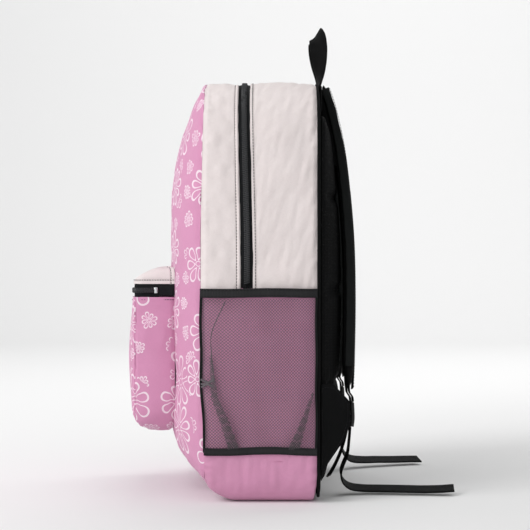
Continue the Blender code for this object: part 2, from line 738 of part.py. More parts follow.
def tail_route(side):
    """The free end of the adjuster webbing, from the ladder-lock down to the floor."""
    if side == "right":
        return [
            (0.1000, 0.0975, 0.0765),
            (0.0990, 0.0962, 0.0600),
            (0.0970, 0.0945, 0.0460),
            (0.0940, 0.0900, 0.0340),
            (0.0905, 0.0878, 0.0245),
            (0.0870, 0.0905, 0.0150),
            (0.0840, 0.0985, 0.0085),
            (0.0815, 0.1130, 0.0060),
            (0.0810, 0.1330, 0.0055),
            (0.0835, 0.1550, 0.0055),
            (0.0865, 0.1770, 0.0055),
            (0.0890, 0.1960, 0.0062),
            (0.0905, 0.2120, 0.0075),
        ]
    return [
        (-0.1000, 0.0975, 0.0765),
        (-0.1010, 0.0968, 0.0600),
        (-0.1040, 0.0965, 0.0440),
        (-0.1090, 0.0985, 0.0290),
        (-0.1160, 0.1040, 0.0175),
        (-0.1240, 0.1130, 0.0115),
        (-0.1330, 0.1270, 0.0090),
        (-0.1420, 0.1450, 0.0080),
        (-0.1500, 0.1640, 0.0070),
        (-0.1570, 0.1830, 0.0065),
        (-0.1620, 0.2000, 0.0060),
    ]


def tail_tilt(share):
    """The direction of the tail's width: along X at the lock, tipped up a little on the floor."""
    tip = math.radians(14) * min(1.0, share / 0.4)
    return (math.cos(tip), 0.0, -math.sin(tip))


def webbing(side, s):
    sideways = (1, 0, 0)
    loop = [(s * 0.0995, 0.0950, 0.1145), (s * LOCK_X, 0.0982, 0.1095)]
    loop += [(s * LOCK_X, LOCK_Y, LOCK_TOP_Z + 0.0009)]
    path = smooth_curve(loop, 4)
    strip = ribbon(path, [STRAP_LOOP_WIDE] * 4, [sideways] * 4, STRAP_LOOP_THICK)
    solid("strap_loop_" + side, *strip, BLACK, "strap_" + side)
    low = [
        (s * 0.1005, 0.0940, 0.0745),
        (s * 0.1010, 0.0912, 0.0620),
        (s * 0.1025, 0.0866, 0.0480),
        (s * 0.1045, 0.0816, 0.0370),
        (s * 0.1070, 0.0770, 0.0290),
        (s * 0.1090, 0.0735, 0.0235),
    ]
    path = smooth_curve(low, 10)
    strip = ribbon(path, [WEB_WIDE] * 10, [sideways] * 10, WEB)
    solid("lower_webbing_" + side, *strip, BLACK)
    count = 30
    path = smooth_curve(tail_route(side), count)
    across = [tail_tilt(i / (count - 1)) for i in range(count)]
    solid("strap_tail_" + side, *ribbon(path, [WEB_WIDE] * count, across, WEB), BLACK, "strap_" + side)


def wing(side, s):
    """The stitched tab at the foot of the back that the adjuster webbing pulls on."""
    outline = [(0.0648, 0.030), (0.0648, 0.123), (0.0760, 0.1225), (0.0890, 0.103)]
    outline += [(0.0880, 0.086), (0.0790, 0.066), (0.0750, 0.046)]
    rings = []
    for off in (0.0, 0.0025):
        rings.append([(s * (0.1450 + off - (y - 0.0648) * 0.25), y, z) for y, z in outline])
    solid("wing_tab_" + side, *loft(rings), BLACK, smooth=False)


def straps():
    for side, s in SIDES.items():
        pivot("strap_" + side, (s * STRAP_X, STRAP_PIVOT_Y, STRAP_PIVOT_Z))
        pivot("lock_" + side, (s * LOCK_X, LOCK_Y, LOCK_TOP_Z), "strap_" + side)
        strap_pad(side, s)
        ladder_lock(side, s)
        webbing(side, s)
        wing(side, s)


def haul_loop():
    """A webbing loop whose legs lie flat in the seam and turn a quarter towards its crown."""
    half = [(0.0160, 0.0665, 0.4525), (0.0180, 0.0668, 0.4640), (0.0230, 0.0668, 0.4800)]
    half += [(0.0255, 0.0662, 0.4980), (0.0195, 0.0652, 0.5145), (0.0080, 0.0645, 0.5237)]
    route = half + [(-x, y, z) for x, y, z in reversed(half)]
    count = 33
    path = smooth_curve(route, count)
    across = []
    for i in range(count):
        share = i / (count - 1)
        rise = 1 - abs(2 * share - 1)
        turn = math.radians(90) * min(1.0, max(0.0, rise - 0.04) / 0.62)
        way = 1 if share < 0.5 else -1
        across.append((way * math.cos(turn), math.sin(turn), 0.0))
    strip = ribbon(path, [HAUL_WIDE] * count, across, HAUL_THICK)
    solid("haul_loop", *strip, BLACK, "haul_loop")


def build():
    clear_scene()
    pivot("front_flap", FLAP_PIVOT)
    pivot("lid", LID_PIVOT)
    pivot("haul_loop", HAUL_PIVOT)
    front_panels()
    base()
    sides()
    gussets()
    main_zip()
    main_sliders()
    back()
    laptop_sleeve()
    side_pockets()
    front_pocket()
    pocket_hood()
    pocket_zip()
    straps()
    haul_loop()


build()
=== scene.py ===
"""The looks of the school backpack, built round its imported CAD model.

Frame, in metres: +Z up, the front pocket faces -Y, the wearer's back is towards +Y and the wearer's
right side is +X. The origin is on the floor under the middle of the base.
"""

import math

import bpy
import numpy as np
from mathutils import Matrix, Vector


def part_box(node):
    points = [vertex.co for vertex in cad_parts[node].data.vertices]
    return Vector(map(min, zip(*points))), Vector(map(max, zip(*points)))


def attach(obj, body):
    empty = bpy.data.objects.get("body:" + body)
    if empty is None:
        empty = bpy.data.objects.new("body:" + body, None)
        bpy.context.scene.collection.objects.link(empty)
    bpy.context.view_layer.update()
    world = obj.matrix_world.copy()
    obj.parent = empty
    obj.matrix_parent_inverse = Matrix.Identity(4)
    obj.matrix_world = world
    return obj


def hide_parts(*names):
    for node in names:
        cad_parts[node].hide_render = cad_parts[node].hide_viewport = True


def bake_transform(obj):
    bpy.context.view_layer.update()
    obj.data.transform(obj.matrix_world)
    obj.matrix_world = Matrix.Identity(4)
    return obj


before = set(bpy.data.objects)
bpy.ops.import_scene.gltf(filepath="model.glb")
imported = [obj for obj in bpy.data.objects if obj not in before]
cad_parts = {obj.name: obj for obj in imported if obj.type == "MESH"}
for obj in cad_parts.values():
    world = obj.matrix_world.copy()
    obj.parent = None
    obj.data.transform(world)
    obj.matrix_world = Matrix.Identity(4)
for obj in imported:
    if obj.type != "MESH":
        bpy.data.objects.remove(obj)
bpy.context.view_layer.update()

# Driving dimensions, as in the CAD model
WIDTH, HEIGHT = 0.300, 0.450
FRONT_SEAM_Y, REAR_SEAM_Y = -0.0607, 0.0597
TOP_RADIUS, BASE_RADIUS = 0.065, 0.025
FRONT_DOME, DOME_FALL_TOP, DOME_FALL_BASE, DOME_POWER = 0.0405, 0.200, 0.090, 3.5
FRONT_LIFT, REAR_LIFT = 0.020, 0.005
FLAT_BASE_Y = (-0.025, 0.056)
BASE_TOP_Z = 0.047
ZIP_Y, ZIP_HALF = -0.0174, 0.0064
OPENING_LOW_Z = 0.2295
POCKET_HALF, POCKET_LOW_Z, POCKET_TOP_Z = 0.100, 0.070, 0.2505
POCKET_FRONT_Y, POCKET_DOME, POCKET_RADIUS = -0.1390, 0.0085, 0.030
POCKET_TURN = (0.018, 0.024)
POCKET_ZIP_LOW_Z, POCKET_ZIP_Z, POCKET_ZIP_HIGH_Z = 0.2172, 0.2245, 0.2320
POCKET_CORNER = 0.012
LID_Y = -0.1110
NET_PLAY, NET_LOW_Z, NET_HIGH_Z, NET_TOP_Z = 0.0065, 0.058, 0.217, 0.227
NET_HALF_Y, NET_RISE = 0.0595, 0.040
LOCK_X, LOCK_Y, LOCK_LOW_Z, LOCK_TOP_Z = 0.100, 0.099, 0.0775, 0.1035
WEB, WEB_WIDE = 0.0020, 0.020

SIDES = {"right": 1, "left": -1}
BAG_MIDDLE = (0.0, 0.0, 0.22)
POCKET_MIDDLE = (0.0, -0.110, 0.16)
UP, SIDEWAYS, BACKWARDS = (0, 0, 1), (1, 0, 0), (0, 1, 0)


# ---------------------------------------------------------------- the bag's outline and surfaces


def arc(centre, radius, start, end, steps):
    """Points of an arc in degrees, both ends included."""
    angles = np.radians(np.linspace(start, end, steps + 1))
    return [(centre[0] + radius * math.cos(a), centre[1] + radius * math.sin(a)) for a in angles]


def arch(inset, low_z, steps=20, upright=18, level=10):
    """The outline from low on the right side, over the top, to low on the left side."""
    half, top, r = WIDTH / 2 - inset, HEIGHT - inset, TOP_RADIUS - inset
    path = [(half, z) for z in np.linspace(low_z, top - r, upright + 1)[:-1]]
    path += arc((half - r, top - r), r, 0, 90, steps)
    path += [(x, top) for x in np.linspace(half - r, 0, level + 1)[1:]]
    return np.array(path + [(-x, z) for x, z in reversed(path[:-1])])


def cradle(inset, high_z, half=WIDTH / 2, low=0.0, radius=BASE_RADIUS, steps=10, upright=4, level=8):
    """An outline from high on the right side, under the bottom, to high on the left side."""
    half, low, r = half - inset, low + inset, radius - inset
    path = [(half, z) for z in np.linspace(high_z, low + r, upright + 1)[:-1]]
    path += arc((half - r, low + r), r, 0, -90, steps)
    path += [(x, low) for x in np.linspace(half - r, 0, level + 1)[1:]]
    return np.array(path + [(-x, z) for x, z in reversed(path[:-1])])


def base_lift(y):
    """How far the base stands off the floor at a depth."""
    if y < FLAT_BASE_Y[0]:
        return FRONT_LIFT * ((y - FLAT_BASE_Y[0]) / (FRONT_SEAM_Y - FLAT_BASE_Y[0])) ** 2
    if y > FLAT_BASE_Y[1]:
        return REAR_LIFT * ((y - FLAT_BASE_Y[1]) / (REAR_SEAM_Y - FLAT_BASE_Y[1])) ** 2
    return 0.0


def lifted(z, y):
    """A height near the base, moved up with the base and unchanged from its upper seam on."""
    return z + base_lift(y) * max(0.0, 1 - z / BASE_TOP_Z)


def half_width(z):
    """Half the width of the front panel at a height."""
    half = WIDTH / 2
    if z > HEIGHT - TOP_RADIUS:
        rise = z - (HEIGHT - TOP_RADIUS)
        return half - TOP_RADIUS + math.sqrt(max(0.0, TOP_RADIUS**2 - rise**2))
    if z < FRONT_LIFT + BASE_RADIUS:
        drop = FRONT_LIFT + BASE_RADIUS - z
        return half - BASE_RADIUS + math.sqrt(max(0.0, BASE_RADIUS**2 - drop**2))
    return half


def front_y(x, z):
    """The outer surface of the domed front panel."""
    top = 1 - max(0.0, 1 - (HEIGHT - z) / DOME_FALL_TOP) ** DOME_POWER
    base = 1 - max(0.0, 1 - (z - FRONT_LIFT) / DOME_FALL_BASE) ** DOME_POWER
    side = 1 - min(1.0, abs(x) / half_width(z)) ** 4
    return FRONT_SEAM_Y - FRONT_DOME * top * base * side


def across_steps(count):
    """Positions from -1 to 1, closer together towards the ends."""
    return np.sin(np.pi / 2 * np.arange(-count, count + 1) / count)


def net_x(y, z):
    """How far a side pocket stands off its side panel."""
    along = min(1.0, abs(y / NET_HALF_Y))
    rise = min(1.0, max(0.0, (z - NET_LOW_Z) / NET_RISE))
    return NET_PLAY * (1 - along**4) * (1 - (1 - rise) ** 2)


def pocket_front_outline(z):
    """Half the width of the front pocket at a height."""
    drop = POCKET_LOW_Z + POCKET_RADIUS - z
    if drop <= 0:
        return POCKET_HALF
    return POCKET_HALF - POCKET_RADIUS + math.sqrt(max(0.0, POCKET_RADIUS**2 - drop**2))


def pocket_seam_y(z):
    """The depth of the pocket's front seam, which turns under at the bottom."""
    depth, height = POCKET_TURN
    t = min(1.0, max(0.0, 1 - (z - POCKET_LOW_Z) / height))
    return POCKET_FRONT_Y + depth * (1 - math.sqrt(1 - t * t))


def pocket_plan(inset, rear_y=LID_Y):
    """The zip's path round the pocket, seen from above, from the right side to the left."""
    half, front, r = POCKET_HALF - inset, POCKET_FRONT_Y + inset, POCKET_CORNER - inset
    path = [(half, y) for y in np.linspace(rear_y, front + r, 13)[:-1]]
    path += arc((half - r, front + r), r, 0, -90, 10)
    path += [(x, front) for x in np.linspace(half - r, 0, 25)[1:]]
    return np.array(path + [(-x, y) for x, y in reversed(path[:-1])])


def lid_height(y):
    """The top of the pocket: level at the back, then falling to the front zip."""
    if y > LID_Y:
        return POCKET_TOP_Z
    fall = (LID_Y - y) / (LID_Y - POCKET_FRONT_Y)
    return POCKET_TOP_Z - (POCKET_TOP_Z - POCKET_ZIP_HIGH_Z - 0.0035) * fall**1.6


# ---------------------------------------------------------------- mesh helpers


def unit(v):
    v = np.asarray(v, dtype=float)
    return v / np.maximum(np.linalg.norm(v, axis=-1, keepdims=True), 1e-12)


def smooth_curve(points, count):
    """Evenly spaced points on a Catmull-Rom curve through the given ones."""
    p = np.array(points, dtype=float)
    p = np.vstack([2 * p[0] - p[1], p, 2 * p[-1] - p[-2]])
    fine = []
    for a, b, c, d in zip(p, p[1:], p[2:], p[3:]):
        for t in np.linspace(0, 1, 12, endpoint=False):
            cubic = (2 * a - 5 * b + 4 * c - d) * t**2 + (3 * b - a - 3 * c + d) * t**3
            fine.append((2 * b + (c - a) * t + cubic) / 2)
    return resample(np.array(fine + [p[-2]]), count)


def run_length(path):
    """The distance along a path at each of its points."""
    steps = np.linalg.norm(np.diff(path, axis=0), axis=1)
    return np.concatenate([[0], np.cumsum(steps)])


def resample(path, count):
    along = run_length(path)
    even = np.linspace(0, along[-1], count)
    return np.column_stack([np.interp(even, along, path[:, k]) for k in range(path.shape[1])])


def point_at(at, along, path):
    """The place on a path at a distance along it."""
    return np.array([np.interp(at, along, path[:, k]) for k in range(3)])


def facing_out(path, axis, middle):
    """Unit directions square to a path and to an axis, away from a point inside."""
    out = unit(np.cross(unit(np.gradient(path, axis=0)), np.array(axis, dtype=float)))
    return out * np.sign(np.sum(out * (path - np.array(middle))))


def turns(count):
    """Angles all the way round."""
    return np.linspace(0, 2 * np.pi, count, endpoint=False)


def soft_square(turn, power, high_power=None):
    """The cosine and sine of an angle, drawn out towards the corners of a square."""
    c, d = math.cos(turn), math.sin(turn)
    return math.copysign(abs(c) ** power, c), math.copysign(abs(d) ** (high_power or power), d)


def soft_noise(a, b, size, seed):
    """Smooth random waves of about one size over two coordinates, roughly from -1 to 1."""
    rng = np.random.default_rng(seed)
    total = np.zeros(np.broadcast(a, b).shape)
    for _ in range(9):
        turn, phase = rng.uniform(0, 2 * np.pi, 2)
        wave = size * rng.uniform(0.7, 1.6)
        total += np.sin((a * np.cos(turn) + b * np.sin(turn)) * 2 * np.pi / wave + phase)
    return total / 4.0


def dip(distance, width):
    """A smooth hollow, 1 at a line and 0 from width away."""
    t = np.clip(np.abs(distance) / width, 0, 1)
    return (1 - t * t) ** 2


def ease(low, high, value):
    """0 below low, 1 above high and smooth between."""
    t = np.clip((value - low) / (high - low), 0, 1)
    return t * t * (3 - 2 * t)


def pucker(along, pitch, drift, swing=2.0):
    """The waves of gathered fabric beside a seam, uneven in their spacing."""
    return np.sin(along * 2 * np.pi / pitch + swing * np.sin(drift))


def grid_normals(points, middle):
    """Unit normals of a grid of points, facing away from a point inside."""
    du = np.gradient(points, axis=0)
    dv = np.gradient(points, axis=1)
    n = unit(np.cross(du, dv))
    if np.sum(n * (points - np.array(middle))) < 0:
        n = -n
    return n


def raised(points, height, middle):
    """A grid of points moved out along its normals."""
    return points + grid_normals(points, middle) * np.asarray(height)[..., None]


def grid_lengths(points):
    """Coordinates in metres over a grid of points: across its columns and along its rows."""
    rows, cols = points.shape[:2]
    u = np.zeros((rows, cols))
    v = np.zeros((rows, cols))
    u[:, 1:] = np.cumsum(np.linalg.norm(np.diff(points, axis=1), axis=2), axis=1)
    v[1:, :] = np.cumsum(np.linalg.norm(np.diff(points, axis=0), axis=2), axis=0)
    u -= u[:, cols // 2 : cols // 2 + 1]
    return np.stack([u, v], axis=2)


SOFT_SIDES = ("gusset_", "front_panel_", "side_panel_", "side_pocket_", "net_", "main_zip_")
SEAM_BULGE, ZIP_LEAN = 0.0040, 0.0036
CLOTH_THICK = 0.0016


def sway(points):
    """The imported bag's front seam bulges forward at mid height and its zip leans back towards its foot."""
    y, z = points[:, 1], points[:, 2]
    near_seam = np.where(
        y < FRONT_SEAM_Y,
        np.clip(1 - (FRONT_SEAM_Y - y) / 0.035, 0, 1),
        np.clip((ZIP_Y - y) / (ZIP_Y - FRONT_SEAM_Y), 0, 1),
    )
    near_zip = np.where(
        y < ZIP_Y,
        np.clip((y - FRONT_SEAM_Y) / (ZIP_Y - FRONT_SEAM_Y), 0, 1),
        np.clip((REAR_SEAM_Y - y) / (REAR_SEAM_Y - ZIP_Y), 0, 1),
    )
    bulge = SEAM_BULGE * ease(0.050, 0.150, z) * (1 - 0.75 * ease(0.270, 0.440, z))
    lean = ZIP_LEAN * (1 - ease(0.250, 0.430, z)) * ease(0.050, 0.100, z)
    moved = points.copy()
    moved[:, 1] += lean * near_zip - bulge * near_seam
    return moved


def scene_object(name, data):
    thing = bpy.data.objects.new(name, data)
    bpy.context.scene.collection.objects.link(thing)
    return thing


def make_mesh(name, verts, faces, material, uvs=None, sharp=40):
    """A smooth mesh object; UVs are given for each vertex, and are all zero when left out."""
    if name.startswith(SOFT_SIDES):
        verts = sway(np.asarray(verts, dtype=float))
    mesh = bpy.data.meshes.new(name)
    mesh.from_pydata(np.asarray(verts, dtype=float).tolist(), [], faces)
    uvs = np.zeros((len(verts), 2)) if uvs is None else uvs
    layer = mesh.uv_layers.new(name="UVMap")
    loops = np.zeros(len(mesh.loops), dtype=np.int32)
    mesh.loops.foreach_get("vertex_index", loops)
    layer.data.foreach_set("uv", np.asarray(uvs, dtype=np.float32)[loops].ravel())
    mesh.materials.append(material)
    mesh.validate()
    mesh.shade_smooth()
    mesh.set_sharp_from_angle(angle=math.radians(sharp))
    return scene_object(name, mesh)


def grid_faces(rows, cols, flip=False, wrap=False):
    faces = []
    for i in range(rows - 1):
        for j in range(cols if wrap else cols - 1):
            k = (j + 1) % cols
            quad = (i * cols + j, i * cols + k, (i + 1) * cols + k, (i + 1) * cols + j)
            faces.append(tuple(reversed(quad)) if flip else quad)
    return faces


def ring_faces(count, size, closed=False, base=0):
    """The faces round a row of rings, with flat ends unless it runs in a loop."""
    faces = grid_faces(count, size, wrap=True)
    last = (count - 1) * size
    if closed:
        faces += [(last + j, last + (j + 1) % size, (j + 1) % size, j) for j in range(size)]
    else:
        faces += [tuple(reversed(range(size))), tuple(range(last, last + size))]
    return [tuple(v + base for v in face) for face in faces]


def sheet_faces(rows, cols, flip=False):
    """The faces of a closed sheet: a grid, the grid behind it, and the rim between them."""
    faces = grid_faces(rows, cols, flip)
    back = rows * cols
    faces += [tuple(v + back for v in reversed(f)) for f in faces]
    rim = list(range(cols)) + [i * cols + cols - 1 for i in range(1, rows)]
    rim += [(rows - 1) * cols + j for j in range(cols - 2, -1, -1)]
    rim += [i * cols for i in range(rows - 2, 0, -1)]
    for a, b in zip(rim, rim[1:] + rim[:1]):
        quad = (a, back + a, back + b, b)
        faces.append(tuple(reversed(quad)) if flip else quad)
    return faces


def cloth(name, points, material, middle=BAG_MIDDLE, uvs=None):
    """A sheet of fabric over a grid of points, which are its outer face."""
    rows, cols = points.shape[:2]
    n = grid_normals(points, middle)
    natural = np.cross(np.gradient(points, axis=1), np.gradient(points, axis=0))
    flip = np.sum(natural * n) < 0
    verts = np.vstack([points.reshape(-1, 3), (points - n * CLOTH_THICK).reshape(-1, 3)])
    uv = (grid_lengths(points) if uvs is None else uvs).reshape(-1, 2)
    return make_mesh(name, verts, sheet_faces(rows, cols, flip), material, np.vstack([uv, uv]))


def tube(rings, name, material, closed=False, uvs=None, sharp=40):
    """A closed skin over rings of equal size, with flat ends unless it runs in a loop."""
    rings = np.asarray(rings, dtype=float)
    faces = ring_faces(*rings.shape[:2], closed)
    return make_mesh(name, rings.reshape(-1, 3), faces, material, uvs, sharp)


def band_uvs(width, along, size):
    """Coordinates in metres over rings of one size: round each ring and along the band."""
    turn = np.linspace(0, width, size)
    return np.stack(np.broadcast_arrays(turn[None, :], along[:, None]), axis=2).reshape(-1, 2)


def tag(stands_for):
    """Hides the CAD nodes that a piece stands for."""
    if stands_for:
        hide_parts(*stands_for)


def place(thing, body, stands_for=()):
    """Rides a piece on its body."""
    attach(thing, body)
    tag(stands_for)


def bend(thing, body, start, end, slot, stands_for=()):
    """Bakes a finished piece's placement into its mesh and hides the CAD nodes it stands for."""
    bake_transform(thing)
    tag(stands_for)


def ribbon_rings(path, widths, across, thick):
    """Cross-sections of a webbing strip with rounded edges along a path."""
    path = np.asarray(path, dtype=float)
    ahead = unit(np.gradient(path, axis=0))
    upper = [(-1, 0), (-0.97, 0.7), (-0.86, 1), (-0.4, 0.86), (0, 0.82), (0.4, 0.86), (0.86, 1), (0.97, 0.7)]
    section = upper + [(-s, -r) for s, r in upper]
    a = np.asarray(across, dtype=float)
    a = unit(a - ahead * np.sum(a * ahead, axis=1, keepdims=True))
    n = np.cross(ahead, a)
    widths = np.asarray(widths, dtype=float)[:, None]
    return np.stack([path + a * widths * s / 2 + n * thick / 2 * r for s, r in section], axis=1)


def webbing(name, path, widths, across, thick, material):
    """A woven strip: its UVs run across its width and along its length, in metres."""
    rings = ribbon_rings(path, widths, across, thick)
    uv = band_uvs(2 * np.mean(widths), run_length(np.asarray(path, dtype=float)), rings.shape[1])
    return tube(rings, name, material, uvs=uv, sharp=60)


def thread(name, path, normals, material, pitch=0.0032, gap=0.0007, radius=0.00035):
    """A row of stitches along a path, each one lying on the fabric and diving in at its ends."""
    along = run_length(path)
    count = max(1, int(along[-1] / pitch))
    verts, faces = [], []
    profile = ((0.0, -1.2, 0.6), (0.14, 0.25, 1.0), (0.86, 0.25, 1.0), (1.0, -1.2, 0.6))
    normals = unit(normals)
    for i in range(count):
        low = along[-1] * i / count
        high = along[-1] * (i + 1) / count - gap
        base = len(verts)
        for share, lift, size in profile:
            at = low + (high - low) * share
            p = point_at(at, along, path)
            n = unit(point_at(at, along, normals))
            side = unit(np.cross(point_at(at + 0.001, along, path) - point_at(at - 0.001, along, path), n))
            for turn in turns(5):
                spoke = side * math.cos(turn) + n * math.sin(turn)
                verts.append(p + n * radius * lift + spoke * radius * size)
        faces += ring_faces(len(profile), 5, base=base)
    return make_mesh(name, verts, faces, material)


# ---------------------------------------------------------------- joined solids


class Solid:
    """Several closed skins gathered into one mesh."""

    def __init__(self):
        self.verts, self.faces = [], []

    def skin(self, rings, closed=False):
        rings = np.asarray(rings, dtype=float)
        self.faces += ring_faces(*rings.shape[:2], closed, len(self.verts))
        self.verts += rings.reshape(-1, 3).tolist()

    def rod(self, path, across, half_wide, half_thick, power=0.45, sides=16):
        """A bar with softened corners along a path; across is the direction of its width."""
        path = np.asarray(path, dtype=float)
        ahead = unit(np.gradient(path, axis=0))
        a = np.broadcast_to(np.asarray(across, dtype=float), path.shape)
        a = unit(a - ahead * np.sum(a * ahead, axis=1, keepdims=True))
        n = np.cross(ahead, a)
        wide = np.broadcast_to(np.asarray(half_wide, dtype=float), (len(path),))[:, None]
        thick = np.broadcast_to(np.asarray(half_thick, dtype=float), (len(path),))[:, None]
        rings = []
        for t in turns(sides):
            c, d = soft_square(t, power)
            rings.append(path + a * wide * c + n * thick * d)
        self.skin(np.stack(rings, axis=1))

    def capped_rod(self, a, b, across, half_wide, half_thick, round_off=0.0008, power=0.45):
        """A straight rod whose ends are rounded off."""
        a, b = np.array(a, dtype=float), np.array(b, dtype=float)
        ahead = unit(b - a)
        length = np.linalg.norm(b - a)
        shares, sizes = [], []
        for t in np.linspace(0, np.pi / 2, 4):
            shares.append(round_off * (1 - math.cos(t)) / length)
            sizes.append(round_off * (1 - math.sin(t)))
        shares += [1 - t for t in reversed(shares)]
        path = [a + ahead * length * t for t in shares]
        drop = np.array(sizes + sizes[::-1])
        self.rod(path, across, half_wide - drop, half_thick - np.minimum(drop, half_thick * 0.7), power)

    def make(self, name, material):
        return make_mesh(name, self.verts, self.faces, material, sharp=35)


# ---------------------------------------------------------------- camera, light and floor

CAMERA_AT = (1.70, 0.00475, 0.252)
CAMERA_LENS, CAMERA_SENSOR = 99.7, 36.0
PAPER = (0.86, 0.86, 0.86)
WORLD_LIGHT, KEY_LIGHT, LOW_LIGHT, FILL_LIGHT, BACKDROP_LIGHT = 0.53, 34.0, 16.0, 1.0, 50.0


def camera():
    data = bpy.data.cameras.new("camera")
    data.lens, data.sensor_width = CAMERA_LENS, CAMERA_SENSOR
    data.clip_start, data.clip_end = 0.05, 30
    thing = scene_object("camera", data)
    thing.location = CAMERA_AT
    thing.rotation_euler = (math.radians(90), 0, math.radians(90))
    bpy.context.scene.camera = thing


def area_light(name, at, towards, size, power):
    data = bpy.data.lights.new(name, "AREA")
    data.shape = "RECTANGLE"
    data.size, data.size_y = size
    data.energy = power
    thing = scene_object(name, data)
    thing.location = at
    thing.rotation_euler = (Vector(towards) - Vector(at)).to_track_quat("-Z", "Y").to_euler()


def studio():
    """A pale paper floor that sweeps up into a backdrop, and soft lights."""
    scene = bpy.context.scene
    scene.view_settings.view_transform = "Standard"
    world = bpy.data.worlds.new("studio")
    world.use_nodes = True
    sky = world.node_tree.nodes["Background"]
    sky.inputs["Color"].default_value = (1, 1, 1, 1)
    sky.inputs["Strength"].default_value = WORLD_LIGHT
    scene.world = world
    paper = bpy.data.materials.new("paper")
    paper.use_nodes = True
    shader = paper.node_tree.nodes["Principled BSDF"]
    shader.inputs["Base Color"].default_value = (*PAPER, 1)
    shader.inputs["Roughness"].default_value = 0.95
    shader.inputs["Specular IOR Level"].default_value = 0.1
    wide, near, far, sweep = 14.0, 8.0, -3.0, 1.2
    profile = [(near, 0.0), (far, 0.0)]
    profile += [(x, z + sweep) for x, z in arc((far, 0.0), sweep, 270, 180, 16)[1:]]
    profile += [(far - sweep, 7.0)]
    points = np.array([[(x, y, z - 0.0004) for y in (-wide, wide)] for x, z in profile])
    floor = make_mesh("floor", points.reshape(-1, 3), grid_faces(len(profile), 2), paper)
    area_light("key", (1.25, -1.9, 1.9), (0, 0, 0.15), (1.2, 1.2), KEY_LIGHT)
    area_light("low_key", (2.4, -1.5, 0.85), (0, 0, 0.2), (0.7, 0.7), LOW_LIGHT)
    area_light("fill", (2.6, 0.9, 1.1), (0, 0, 0.2), (2.4, 2.0), FILL_LIGHT)
    area_light("backdrop_light", (-1.2, 0.8, 2.6), (-3.2, 0.2, 0.9), (2.6, 1.4), BACKDROP_LIGHT)


camera()
studio()


# ---------------------------------------------------------------- materials

PRINT_LINE = (0.93, 0.77, 0.85)
BIG_DAISY = (0.066, 0.0290, 0.31, 0.00060)  # distance apart, largest radius, seed and half a line's width
SMALL_DAISY = (0.0300, 0.0095, 0.83, 0.00032)


